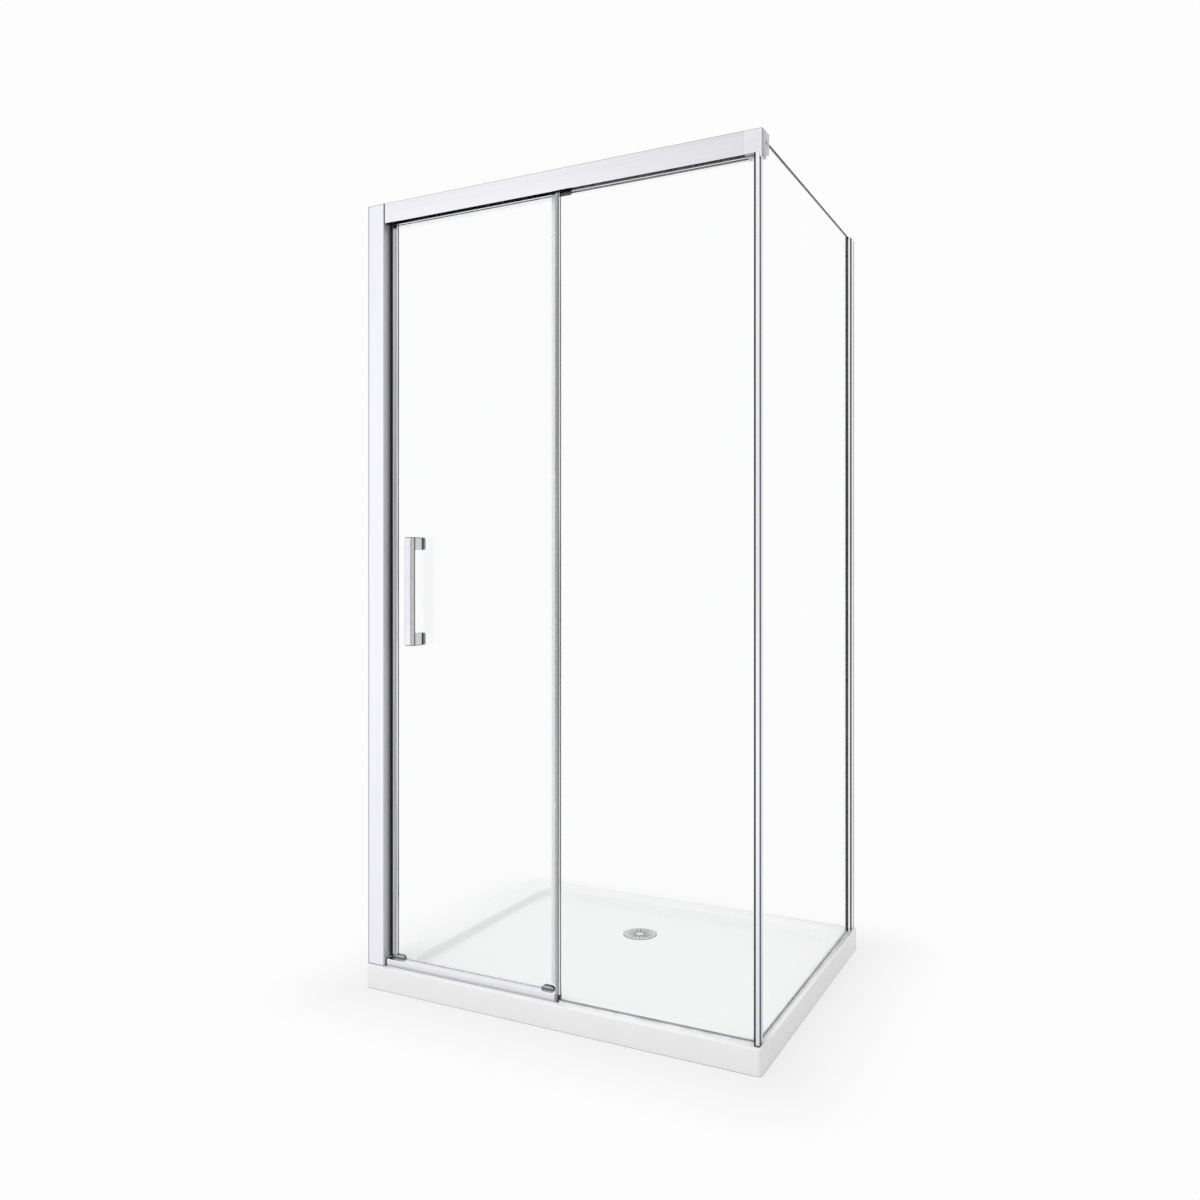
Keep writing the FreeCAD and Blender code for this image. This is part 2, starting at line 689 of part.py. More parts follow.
def make_frame_screws():
    """The screws that lock both posts to their channels and the head rail's bracket to the left post."""
    body = piece("frame_screws")
    spacing = "(enclosure_height - 2 * lock_low) / (lock_count - 1)"
    low = "tray_height + seat / 2 + lock_low"
    post_face = "-(frame_front + post_depth + 0.05)"
    screw_row(body, "XZ", "left + lock_from_wall", low, post_face, -1, "Z", spacing, "lock_count")
    lock_y = "rear - side_channel_reach + 8"
    channel_face = "side_middle - side_channel_width / 2 - 0.05"
    screw_row(body, "YZ", lock_y, low, channel_face, -1, "Z", spacing, "lock_count")
    plate_face = "post_right + seat + bracket_plate + 0.05"
    screw_y, screw_z = "frame_front + bracket_screw_y", "head_low + bracket_screw_z"
    single_screw(body, "YZ", screw_y, screw_z, plate_face, 1)


def make_left_post():
    top = "head_top - cap_plate - tray_height - seat"
    base = ("left + seat", "frame_front", "tray_height + seat / 2")
    wide, deep, wall = "post_width - seat", "post_depth", "post_wall"
    groove_low = "post_depth - strike_inset - strike_width"
    groove_high = "post_depth - strike_inset"
    outline = [
        ("0", "0"),
        (wide, "0"),
        (wide, groove_low),
        (f"{wide} - strike_depth", groove_low),
        (f"{wide} - strike_depth", groove_high),
        (wide, groove_high),
        (wide, deep),
        ("0", deep),
        ("0", f"{deep} - {wall}"),
        (f"{wide} - strike_depth - {wall}", f"{deep} - {wall}"),
        (f"{wide} - strike_depth - {wall}", f"{groove_low} - {wall}"),
        (f"{wide} - {wall}", f"{groove_low} - {wall}"),
        (f"{wide} - {wall}", wall),
        ("0", wall),
    ]
    post = extrusion("wall_post_left", base, "XY", [outline], top)
    round_edges(post, "1.2", ("z", {"x": "high", "y": "low"}))
    round_edges(post, "strike_inset * 0.6", ("z", {"x": "high", "y": "high"}))
    lock_z = "lock_low"
    spacing = "(enclosure_height - 2 * lock_low) / (lock_count - 1)"
    circle = [("lock_from_wall - seat", lock_z, "lock_radius + seat")]
    hole = sketch(post, "XZ", circles=circle, lift="-post_depth")
    repeat_line(post, pocket(post, hole, "post_wall * 2", along_normal=True), "Z", spacing, "lock_count")
    drill(
        post,
        "YZ",
        [("bracket_screw_y", "head_low - tray_height - seat / 2 + bracket_screw_z")],
        "lock_radius + seat",
        "post_width",
        "post_wall * 2 + 2",
    )

    inset = "(post_wall + channel_slip)"
    channel_high = f"{top} - cap_plug - 1"
    near, far = inset, f"post_depth - {inset}"
    channel_outline = [
        ("0", near),
        ("channel_reach", near),
        ("channel_reach", f"{near} + channel_wall"),
        ("channel_web", f"{near} + channel_wall"),
        ("channel_web", f"{far} - channel_wall"),
        ("channel_reach", f"{far} - channel_wall"),
        ("channel_reach", far),
        ("0", far),
    ]
    base = ("left", "frame_front", "tray_height + seat / 2")
    channel = extrusion("wall_channel_left", base, "XY", [channel_outline], channel_high)
    heights = ["hole_end", f"({channel_high}) / 2", f"{channel_high} - hole_end"]
    spots = [("post_depth / 2", height) for height in heights]
    drill(channel, "YZ", spots, "hole_radius", "channel_web", "channel_web")
    hole = sketch(channel, "XZ", circles=[("lock_from_wall", lock_z, "lock_radius")], lift="-post_depth")
    cut = pocket(channel, hole, f"{inset} + channel_wall + 1", along_normal=True)
    repeat_line(channel, cut, "Z", spacing, "lock_count")

    strike_low = "tray_height + sill_height + 2 * seat"
    place = ("post_right", f"frame_front + {groove_low} + seat", strike_low)
    strip = rectangle("seat - strike_depth", "0", "strike_proud", "strike_width - 2 * seat")
    strike = extrusion("strike_magnet_seal", place, "XY", [strip], f"head_low - seat - ({strike_low})")
    round_edges(strike, "0.8", ("z", {"x": "high", "y": "low"}), ("z", {"x": "high", "y": "high"}))

    cap = piece("post_top_cap", "left + seat", "frame_front", "head_top - cap_plate")
    plate = sketch(cap, "XY", [rectangle("0", "0", wide, deep)])
    pad(cap, plate, "cap_plate")
    round_edges(cap, "1.2", ("z", {"x": "high", "y": "low"}), ("z", {"x": "high", "y": "high"}))
    edge = "(post_wall + seat)"
    plug = rectangle("3", edge, f"{wide} - strike_depth - {edge}", f"{groove_low} - {edge}")
    pad(cap, sketch(cap, "XY", [plug]), "cap_plug", backwards=True)


# ---------------------------------------------------------------- head rail and corner block


def make_header():
    wall, deep, high = "header_wall", "header_depth", "header_height"
    web = "header_web"
    chamber = f"{web} + {wall}"
    outline = [
        ("0", "0"),
        (wall, "0"),
        (wall, f"{high} - {wall}"),
        (web, f"{high} - {wall}"),
        (web, "0"),
        (f"{chamber} + front_ledge", "0"),
        (f"{chamber} + front_ledge", wall),
        (chamber, wall),
        (chamber, f"{high} - {wall}"),
        (f"{deep} - {wall}", f"{high} - {wall}"),
        (f"{deep} - {wall}", wall),
        (f"{deep} - {wall} - bead_from_wall", wall),
        (f"{deep} - {wall} - bead_from_wall", f"{wall} + bead_height"),
        (f"{deep} - {wall} - bead_from_wall - bead_width", f"{wall} + bead_height"),
        (f"{deep} - {wall} - bead_from_wall - bead_width", wall),
        (f"{deep} - {wall} - rear_ledge", wall),
        (f"{deep} - {wall} - rear_ledge", "0"),
        (deep, "0"),
        (deep, high),
        ("0", high),
    ]
    place = ("header_left", "frame_front", "head_low")
    length = "block_left - header_left - seat"
    rail = extrusion("header_rail", place, "YZ", [outline], length)
    round_edges(rail, "1.2", ("x", {"y": "low", "z": "high"}), ("x", {"y": "high", "z": "high"}))

    bracket = piece("header_end_bracket", "post_right + seat", "frame_front", "head_low")
    plate = rectangle("0.3", "0.3", f"{deep} - 0.3", f"{high} - 0.3")
    pad(bracket, sketch(bracket, "YZ", [plate]), "bracket_plate")
    tongue = rectangle(f"{wall} + seat", "header_height * 0.68", f"{web} - seat", f"{high} - {wall} - seat")
    pad(bracket, sketch(bracket, "YZ", [tongue]), "bracket_tongue")
    spot = [("bracket_screw_y", "bracket_screw_z")]
    drill(bracket, "YZ", spot, "lock_radius + seat", "bracket_plate", "bracket_plate")

    rear = "track_rear - seat"
    ledge = "head_low + header_wall + seat / 2"
    stop_front = "roller_middle - roller_width / 2"
    stop_high = "roller_z + roller_radius"
    outline = rectangle(stop_front, ledge, rear, stop_high)
    stops = piece("door_stops", "roller_first - roller_radius - stop_margin - stop_length")
    first = pad(stops, sketch(stops, "YZ", [outline]), "stop_length")
    span = "roller_second + travel - roller_first + 2 * roller_radius + 2 * stop_margin + stop_length"
    repeat_line(stops, first, "X", span, "2")

    low, run = "head_low + 12", "block_left - fixed_left - 60"
    block = rectangle(f"frame_front + {wall} + seat", low, "fixed_front - seat", f"head_top - {wall} - 0.3")
    blocks = piece("glass_blocks", "fixed_left + 30")
    repeat_line(blocks, pad(blocks, sketch(blocks, "YZ", [block]), "24"), "X", f"({run} - 24) / 3", "4")
    strip = rectangle("fixed_rear + seat", "head_low + 1", "frame_front + header_web - seat", "fixed_top + 4")
    start = "mid_left + edge_width + retainer_length + 1"
    extrusion("glazing_wedge", (start, "0", "0"), "YZ", [strip], f"block_left - 1 - ({start})")
    clip_rear = "fixed_rear + seat + retainer_thickness"
    clip = rectangle("fixed_rear + seat", "head_low - retainer_drop", clip_rear, "fixed_top + 4")
    place = ("mid_left + edge_width + 0.2", "0", "0")
    retainer = extrusion("glass_retainer", place, "YZ", [clip], "retainer_length")
    round_edges(retainer, "3", ("y", {"x": "high", "z": "low"}))


def make_corner_block():
    body = piece("corner_block", "block_left", "frame_front", "head_low")
    core = "block_width - cheek"
    main = sketch(body, "XZ", [rectangle("0", "0", core, "header_height")])
    pad(body, main, "header_depth", backwards=True)
    cheek_outline = [
        ("0", "-cheek_drop"),
        ("header_depth", "cheek_rise"),
        ("header_depth", "header_height"),
        ("0", "header_height"),
    ]
    side = sketch(body, "YZ", [cheek_outline], lift=core)
    pad(body, side, "cheek")
    round_edges(body, "block_edge", ("z", {"x": "high", "y": "low"}), ("x", {"y": "low", "z": "high"}))
    side_slot = rectangle(
        "side_inner - seat - block_left",
        "side_front - seat - frame_front",
        "side_outer + seat - block_left",
        "header_depth + 1",
    )
    pocket(body, sketch(body, "XY", [side_slot]), "head_top - side_top - head_low + 0.3", along_normal=True)
    front_slot = rectangle(
        "-1",
        "fixed_front - seat - frame_front",
        "fixed_right + seat - block_left",
        "fixed_rear + seat - frame_front",
    )
    pocket(body, sketch(body, "XY", [front_slot]), "fixed_top - head_low + 0.3", along_normal=True)
    tongue = rectangle(
        "header_wall + seat",
        "fixed_entry + 6",
        "header_web - seat",
        "header_height - header_wall - seat",
    )
    pad(body, sketch(body, "YZ", [tongue]), "18", backwards=True)
    spot = [("header_depth / 2 + 2", "header_height / 2")]
    shank = "frame_right - side_outer"
    drill(body, "YZ", spot, "clamp_screw + 0.05", "block_width", f"{shank}")

    place = ("frame_right", "frame_front + header_depth / 2 + 2", "head_low + header_height / 2")
    screw = piece("corner_block_screw", *place)
    end = sketch(screw, "YZ", circles=[("0", "0", "clamp_screw")], lift="-clamp_inset")
    pad(screw, end, f"{shank} - clamp_inset - 0.2", backwards=True)


# ---------------------------------------------------------------- fixed glass and its edge


def pane(label, plane, place, low, high, thickness, length_name):
    """A glass pane: its lower corner is the body's place."""
    body = piece(label, *place)
    face = rectangle("0", "0", length_name, f"{high} - {low}")
    pad(body, sketch(body, plane, [face]), thickness, plane == "XZ")
    return body


def make_fixed_glass():
    place = ("fixed_left", "fixed_front", "fixed_low")
    pane("fixed_glass", "XZ", place, "fixed_low", "fixed_top", "glass", "fixed_right - fixed_left")

    deep, grip = "profile_depth", "profile_grip"
    outline = [
        ("0", "0"),
        ("edge_width", "0"),
        ("edge_width", f"{grip} - seat"),
        ("edge_web", f"{grip} - seat"),
        ("edge_web", f"{deep} - {grip} + seat"),
        ("edge_width", f"{deep} - {grip} + seat"),
        ("edge_width", deep),
        ("0", deep),
    ]
    low = "tray_height + sill_height + seat"
    place = ("mid_left", f"fixed_front - {grip}", low)
    profile = extrusion("fixed_edge_profile", place, "XY", [outline], f"head_low - seat - ({low})")
    round_edges(profile, "1", ("z", {"x": "low", "y": "low"}), ("z", {"x": "low", "y": "high"}))

    start = "sill_right + end_cap + 0.3"
    flange_left = "post_outer - corner_flange - 0.3"
    length = f"{flange_left} - ({start})"
    seal = foot_seal("fixed_bottom_seal", (start, "fixed_front", "tray_height + seat / 2"), "YZ", length)
    lip = foot_lip("0", "-1")
    run = f"post_face_left - bead_seal_width - 0.3 - ({flange_left})"
    pad(seal, sketch(seal, "YZ", [lip], lift=length), run)


def foot_lip(outer, side):
    """The outer half of a foot seal, where a post stands on the inner side."""
    base = "(fixed_lift - seat)"
    opposite = f"{outer} - {side} * glass"
    near = f"{outer} + {side} * seat"
    far = f"{outer} + {side} * (foot_seal_wall + seat)"
    return [
        (opposite, "0"),
        (far, "0"),
        (far, "foot_seal_height"),
        (near, "foot_seal_height"),
        (near, base),
        (opposite, base),
    ]


def foot_seal(label, place, plane, length):
    """Channel of rubber round a fixed pane's lower edge."""
    side, base = "(foot_seal_wall + seat)", "(fixed_lift - seat)"
    outline = [
        (f"-{side}", "0"),
        (f"glass + {side}", "0"),
        (f"glass + {side}", "foot_seal_height"),
        ("glass + seat", "foot_seal_height"),
        ("glass + seat", base),
        ("-seat", base),
        ("-seat", "foot_seal_height"),
        (f"-{side}", "foot_seal_height"),
    ]
    body = piece(label, *place)
    pad(body, sketch(body, plane, [outline]), length, plane == "XZ")
    return body


def make_corner():
    """Corner post: rebates for the front pane and the side pane, and a slanted face inside."""
    place = ("post_outer", "frame_front", "tray_height + seat / 2")
    high = "head_low - seat - tray_height - seat"
    front_slot = "fixed_inset - seat"
    rear_slot = "fixed_inset + glass + seat"
    side_slot = f"{rear_slot} + corner_web"
    outside = "corner_lip - seat"
    inside = "corner_lip + glass + seat"
    slot_end = "post_outer - fixed_right - seat"
    outline = [
        (f"-corner_flange", rear_slot),
        (f"-({slot_end})", rear_slot),
        (f"-({slot_end})", front_slot),
        ("-corner_face", front_slot),
        ("-corner_face", "0"),
        ("0", "0"),
        ("0", "line_seal_inset"),
        ("-line_seal_depth", "line_seal_inset"),
        ("-line_seal_depth", "line_seal_inset + line_seal_width"),
        ("0", "line_seal_inset + line_seal_width"),
        ("0", f"{side_slot} + corner_cover"),
        (f"-({outside})", f"{side_slot} + corner_cover"),
        (f"-({outside})", side_slot),
        (f"-({inside})", side_slot),
        (f"-({inside})", f"{side_slot} + corner_tail"),
        (f"-({inside} + corner_tip)", f"{side_slot} + corner_tail"),
        ("-corner_flange", f"{rear_slot} + corner_tip"),
    ]
    wall = "corner_wall"
    chamber_right = f"-{wall} - line_seal_depth"
    front_chamber = rectangle(f"{wall} - corner_face", wall, chamber_right, f"{front_slot} - {wall}")
    post = extrusion("corner_post", place, "XY", [outline, front_chamber], high)
    round_edges(post, "1.2", ("z", {"x": "high", "y": "low"}))

    x_low, x_high = "-corner_face - seat - bead_seal_width", "-corner_face - seat"
    bead = rectangle(x_low, "fixed_inset - 2 * seat - bead_seal_depth", x_high, "fixed_inset - 2 * seat")
    bead_body = extrusion("corner_glazing_bead", place, "XY", [bead], high)
    round_edges(bead_body, "1", ("z", {"x": "low", "y": "low"}))
    line = rectangle(
        "0.05 - line_seal_depth",
        "line_seal_inset + seat",
        "-0.1",
        "line_seal_inset + line_seal_width - seat",
    )
    extrusion("corner_line_seal", place, "XY", [line], high)

    length = "rear - jamb_front + jamb_pocket - 1 - side_front"
    place = ("side_inner", "side_front", "fixed_low")
    pane("side_glass", "YZ", place, "fixed_low", "head_top - side_top", "glass", length)
    start = "side_front + corner_tail + 0.3"
    place = ("side_inner", start, "tray_height + seat / 2")
    seal = foot_seal("side_bottom_seal", place, "XZ", f"rear - jamb_front - 0.3 - ({start})")
    pad(seal, sketch(seal, "XZ", [foot_lip("glass", "1")]), "corner_tail - corner_cover")


# ---------------------------------------------------------------- profiles at the back wall


def make_side_wall():
    half, wall, deep = "jamb_width / 2", "jamb_wall", "jamb_length"
    high = "jamb_top - tray_height - seat"
    outline = [
        (f"-{half}", "0"),
        (f"{wall} - {half}", "0"),
        (f"{wall} - {half}", "jamb_pocket"),
        (f"{half} - {wall}", "jamb_pocket"),
        (f"{half} - {wall}", "0"),
        (half, "0"),
        (half, deep),
        (f"{half} - {wall}", deep),
        (f"{half} - {wall}", f"jamb_pocket + {wall}"),
        (f"{wall} - {half}", f"jamb_pocket + {wall}"),
        (f"{wall} - {half}", deep),
        (f"-{half}", deep),
    ]
    place = ("side_middle", "rear - jamb_front", "tray_height + seat / 2")
    jamb = extrusion("side_wall_post", place, "XY", [outline], high)
    round_edges(jamb, "0.6", ("z", {"x": "low", "y": "low"}), ("z", {"x": "high", "y": "low"}))

    gap = f"({half} - {wall} - glass / 2)"
    left_strip = rectangle(f"{wall} + 0.05 - {half}", "0.5", "-glass / 2 - 0.05", "jamb_pocket - 0.5")
    right_strip = rectangle("glass / 2 + 0.05", "0.5", f"{half} - {wall} - 0.05", "jamb_pocket - 0.5")
    extrusion("side_gaskets", place, "XY", [left_strip, right_strip], high)

    width, reach = "side_channel_width / 2", "side_channel_reach"
    flange = "side_channel_wall"
    channel_outline = [
        (f"-{width}", f"-{reach}"),
        (f"{flange} - {width}", f"-{reach}"),
        (f"{flange} - {width}", "-channel_web"),
        (f"{width} - {flange}", "-channel_web"),
        (f"{width} - {flange}", f"-{reach}"),
        (width, f"-{reach}"),
        (width, "0"),
        (f"-{width}", "0"),
    ]
    place = ("side_middle", "rear", "tray_height + seat / 2")
    channel = extrusion("side_wall_channel", place, "XY", [channel_outline], high)
    heights = ["hole_end", f"({high}) / 2", f"{high} - hole_end"]
    drill(channel, "XZ", [("0", height) for height in heights], "hole_radius", "channel_web", "channel_web")
    spacing = "(enclosure_height - 2 * lock_low) / (lock_count - 1)"
    lock_y = f"8 - {reach}"
    hole = sketch(channel, "YZ", circles=[(lock_y, "lock_low", "lock_radius + seat")], lift=f"-{width}")
    cut = pocket(channel, hole, f"{flange} + 0.3", along_normal=True)
    repeat_line(channel, cut, "Z", spacing, "lock_count")
    circle = [("jamb_front - side_channel_reach + 8", "lock_low", "lock_radius")]
    hole = sketch(jamb, "YZ", circles=circle, lift=f"-{half}")
    cut = pocket(jamb, hole, f"{wall} + 0.3", along_normal=True)
    repeat_line(jamb, cut, "Z", spacing, "lock_count")

    cap = piece("side_top_cap", "side_middle", "rear", "jamb_top")
    plate = rectangle(f"-{width}", "-jamb_front + jamb_pocket + 0.5", width, "0")
    pad(cap, sketch(cap, "XY", [plate]), "cap_plate")
    round_edges(cap, "1.5", ("x", {"y": "low", "z": "high"}))
    plug = rectangle(
        f"{wall} + 0.1 - {half}",
        f"{wall} + 0.1 + jamb_pocket - jamb_front",
        f"{half} - {wall} - 0.1",
        "-channel_web - 0.3",
    )
    pad(cap, sketch(cap, "XY", [plug]), "cap_plug", backwards=True)


# ---------------------------------------------------------------- threshold and floor guide


def make_threshold():
    deep, box, wall = "sill_depth", "sill_box", "sill_wall"
    outline = [
        ("0", "0"),
        (deep, "0"),
        (deep, "sill_lip"),
        (f"{deep} - {wall}", "sill_lip"),
        (f"{deep} - {wall}", "sill_floor"),
        (box, "sill_floor"),
        (box, "sill_height"),
        ("0", "sill_height"),
    ]
    hollow = rectangle(wall, "sill_floor", f"{box} - {wall}", f"sill_height - {wall}")
    place = ("sill_left", "sill_front", "tray_height + seat / 2")
    rail = extrusion("threshold_rail", place, "YZ", [outline, hollow], "sill_right - sill_left - seat")
    round_edges(rail, "2", ("x", {"y": "low", "z": "high"}))

    place = ("post_right + seat", "sill_front", "tray_height + seat / 2")
    block = extrusion("threshold_end_block", place, "YZ", [outline], "end_block")
    round_edges(block, "2", ("x", {"y": "low", "z": "high"}))

    cap = piece("threshold_end_cap", "sill_right", "sill_front", "tray_height + seat / 2")
    body_outline = rectangle("0", "0", "end_cap_depth", "sill_height - 0.1")
    pad(cap, sketch(cap, "YZ", [body_outline]), "end_cap")
    round_edges(cap, "2", ("x", {"y": "low", "z": "high"}), ("z", {"x": "high", "y": "low"}))
    lug_front = "fixed_rear - sill_front + profile_grip + 0.3"
    lug = rectangle(lug_front, "0", "end_cap_depth", "sill_height + end_lug")
    pad(cap, sketch(cap, "YZ", [lug]), "end_cap")
    slot = rectangle(
        "fixed_left - seat - sill_right",
        "fixed_front - seat - sill_front",
        "end_cap + 1",
        "fixed_rear + seat - sill_front",
    )
    pocket(cap, sketch(cap, "XY", [slot], lift="fixed_lift - seat"), "sill_height", along_normal=True)

    low = "track_floor + 0.1"
    guide = piece("floor_guide", "mid_left - guide_gap - guide_length", "door_middle", low)
    half = "corner_guide_depth / 2"
    high = f"guide_top - ({low})"
    front_view = sketch(guide, "XZ", [rectangle("0", "0", "guide_length", high)], lift=half)
    pad(guide, front_view, "corner_guide_depth", backwards=True)
    round_edges(guide, "guide_round", ("y", {"x": "low", "z": "high"}), ("y", {"x": "high", "z": "high"}))
    gap = "(glass / 2 + seat + seal_wall + free)"
    slot = rectangle(f"-{gap}", "3", gap, f"{high} + 1")
    pocket(guide, sketch(guide, "YZ", [slot]), "guide_length", along_normal=True)


# ---------------------------------------------------------------- sliding door


def make_door():
    place = ("door_left", "door_front", "door_low")
    door = pane("door_glass", "XZ", place, "door_low", "door_top", "glass", "door_right - door_left")
    bush_hole, handle_z_low = "shank_radius + 0.1", "handle_low + handle_leg / 2 - door_low"
    holes = [
        ("roller_inset", "roller_z - door_low", bush_hole),
        ("door_right - door_left - roller_inset", "roller_z - door_low", bush_hole),
        ("handle_x + left - door_left", handle_z_low, "glass_hole"),
        ("handle_x + left - door_left", f"{handle_z_low} + handle_length - handle_leg", "glass_hole"),
    ]
    pocket(door, sketch(door, "XZ", circles=holes), "glass")

    deep, grip = "profile_depth", "profile_grip"
    slot_low, slot_high = f"{deep} / 2 - 2", f"{deep} / 2 + 2"
    outline = [
        ("0", "0"),
        ("lead_width", "0"),
        ("lead_width", f"{grip} - seat"),
        ("lead_web", f"{grip} - seat"),
        ("lead_web", f"{deep} - {grip} + seat"),
        ("lead_width", f"{deep} - {grip} + seat"),
        ("lead_width", deep),
        ("0", deep),
        ("0", slot_high),
        ("1.4", slot_high),
        ("1.4", slot_low),
        ("0", slot_low),
    ]
    low = "guide_top + free"
    place = ("lead_left", f"door_front - {grip}", low)
    lead = extrusion("door_lead_profile", place, "XY", [outline], f"head_low - 1 - ({low})")
    round_edges(lead, "1", ("z", {"x": "high", "y": "low"}), ("z", {"x": "high", "y": "high"}))

    reach = "closing_gap - strike_proud - free"
    seal_outline = [
        (f"-({reach})", "1"),
        ("-seat", "1"),
        ("-seat", f"{slot_low} + seat"),
        ("1.2", f"{slot_low} + seat"),
        ("1.2", f"{slot_high} - seat"),
        ("-seat", f"{slot_high} - seat"),
        ("-seat", f"{deep} - 1"),
        (f"-({reach})", f"{deep} - 1"),
    ]
    seal = extrusion("door_magnet_seal", place, "XY", [seal_outline], f"head_low - 1 - ({low})")
    round_edges(seal, "1", ("z", {"x": "low", "y": "low"}), ("z", {"x": "low", "y": "high"}))

    side = "(glass / 2 + seat + seal_wall)"
    inner = "(glass / 2 + seat)"
    trail = [
        ("-trail_cover", f"-{side}"),
        ("seat", f"-{side}"),
        ("seat", f"-{side} - 3.9"),
        ("trailing_gap + 1.5", f"-{side} - 3.9"),
        ("trailing_gap + 1.5", f"seal_wall - {side} - 3.9"),
        ("seat + seal_wall", f"seal_wall - {side} - 3.9"),
        ("seat + seal_wall", side),
        ("-trail_cover", side),
        ("-trail_cover", inner),
        ("seat", inner),
        ("seat", f"-{inner}"),
        ("-trail_cover", f"-{inner}"),
    ]
    low = "tray_height + sill_height + end_lug + 1"
    place = ("door_right", "door_middle", low)
    extrusion("door_trailing_seal", place, "XY", [trail], f"head_low - 1.5 - ({low})")

    sweep = [
        (f"-{side}", "-sweep_drop"),
        (f"1 - {side}", "-sweep_drop"),
        (f"1 - {side}", "-seat - seal_wall"),
        (f"{side} - 1", "-seat - seal_wall"),
        (f"{side} - 1", "-sweep_drop"),
        (side, "-sweep_drop"),
        (side, "sweep_height - sweep_drop"),
        (inner, "sweep_height - sweep_drop"),
        (inner, "-seat"),
        (f"-{inner}", "-seat"),
        (f"-{inner}", "sweep_height - sweep_drop"),
        (f"-{side}", "sweep_height - sweep_drop"),
    ]
    start = "lead_left + 0.5 + corner_guide_length + 0.3"
    place = (start, "door_middle", "door_low")
    extrusion("door_bottom_sweep", place, "YZ", [sweep], f"door_right - 0.3 - ({start})")

    half = "corner_guide_depth / 2"
    low = "track_floor + free"
    guide = piece("door_corner_guide", "lead_left + 0.5", "door_middle", low)
    high = f"guide_top - ({low})"
    front_view = sketch(guide, "XZ", [rectangle("0", "0", "corner_guide_length", high)], lift=half)
    pad(guide, front_view, "corner_guide_depth", backwards=True)
    round_edges(guide, "guide_round", ("y", {"x": "high", "z": "high"}))
    slot = rectangle(
        "door_left - seat - lead_left - 0.5",
        "-glass / 2 - seat",
        "corner_guide_length + 1",
        "glass / 2 + seat",
    )
    cut = sketch(guide, "XY", [slot], lift=f"door_low - seat - ({low})")
    pocket(guide, cut, "guide_height", along_normal=True)
    foot_half = "(sill_front + sill_depth - sill_wall - free - door_middle)"
    foot_front = "(door_middle - sill_front - sill_box - free)"
    foot = rectangle("0", f"-{foot_front}", "corner_guide_length", foot_half)
    pad(guide, sketch(guide, "XY", [foot]), "3")


def make_rollers():
    """Stepped bolts through the glass, each with a nut in front and a roller behind."""
    span = "roller_second - roller_first"
    rear_face = "glass + seat"
    axle_start = f"{rear_face} + collar_thickness"
    roller_front = "roller_middle - roller_width / 2 - door_front"
    roller_rear = "roller_middle + roller_width / 2 - door_front"
    place = ("roller_first", "door_front", "roller_z")
    bolts = piece("roller_axles", *place)
    shank = [("0", "0", "shank_radius")]
    collar = [regular_outline("collar_radius", 6)]
    axle = [("0", "0", "axle_radius")]
    head = [regular_outline("(axle_radius + 1.4)", 6)]
    end = f"{roller_rear} + 0.1"
    for outlines, circles, start, length in (
        ((), shank, "-nut_face_thickness - seat", f"nut_face_thickness + seat + {rear_face}"),
        (collar, (), rear_face, "collar_thickness"),
        ((), axle, axle_start, f"{end} - ({axle_start})"),
        (head, (), end, "0.9"),
    ):
        face = sketch(bolts, "XZ", outlines, circles, lift=f"-({start})")
        pad(bolts, face, length, backwards=True)
    repeat_all(bolts, "X", span, "2")

    nuts = piece("roller_nuts", *place)
    bore = [("0", "0", "shank_radius + 0.05")]
    hexagon = regular_outline("nut_face_radius", 6)
    pad(nuts, sketch(nuts, "XZ", [hexagon], bore, lift="seat"), "nut_face_thickness")
    repeat_all(nuts, "X", span, "2")

    bore = "axle_radius + axle_clearance"
    wheel = [
        (bore, "-roller_width / 2"),
        ("roller_radius", "-roller_width / 2"),
        ("roller_radius", "roller_width / 2"),
        (bore, "roller_width / 2"),
    ]
    for label, x in (("roller_wheel_left", "roller_first"), ("roller_wheel_right", "roller_second")):
        body = piece(label, x, "roller_middle", "roller_z")
        revolve(body, wheel, "XY", "V_Axis")


def make_handle():
    width, high = "handle_width", "handle_length"
    place = (f"left + handle_x - {width} / 2", "door_front", "handle_low")
    handle = piece("handle_bar", *place)
    tip, inner_face = "-washer", "handle_bar - handle_stand"
    outline = [
        ("-handle_stand", "0"),
        (tip, "0"),
        (tip, "handle_leg"),
        (inner_face, "handle_leg"),
        (inner_face, f"{high} - handle_leg"),
        (tip, f"{high} - handle_leg"),
        (tip, high),
        ("-handle_stand", high),
    ]
    pad(handle, sketch(handle, "YZ", [outline]), width)
    round_edges(handle, "handle_inner_round", ("x", {"y": "inside", "z": "inside"}))
    round_edges(handle, "handle_round", ("x", {"y": "low", "z": "low"}), ("x", {"y": "low", "z": "high"}))
    bevel_edges(handle, "handle_edge", ("z", {"x": "low", "y": "low"}), ("z", {"x": "high", "y": "low"}))
    spots = [(f"{width} / 2", "handle_leg / 2"), (f"{width} / 2", f"{high} - handle_leg / 2")]
    drill(handle, "XZ", spots, "stud_radius + 0.05", "washer + stud_bite + 0.3", "stud_bite + 0.3")

    place = ("left + handle_x", "door_rear + washer", "handle_low + handle_leg / 2")
    caps = piece("handle_caps", *place)
    face, half = "cap_stand - washer", "handle_width / 2"
    outline = rectangle(f"-{half}", "-handle_leg / 2", half, "handle_leg / 2")
    pad(caps, sketch(caps, "XZ", [outline]), face, backwards=True)
    corners = [("y", {"x": x, "z": z}) for x in ("low", "high") for z in ("low", "high")]
    round_edges(caps, "cap_round", *corners)
    stud = sketch(caps, "XZ", circles=[("0", "0", "stud_radius")])
    pad(caps, stud, "glass + 2 * washer + stud_bite")
    repeat_all(caps, "Z", f"{high} - handle_leg", "2")


# ---------------------------------------------------------------- build, check and write

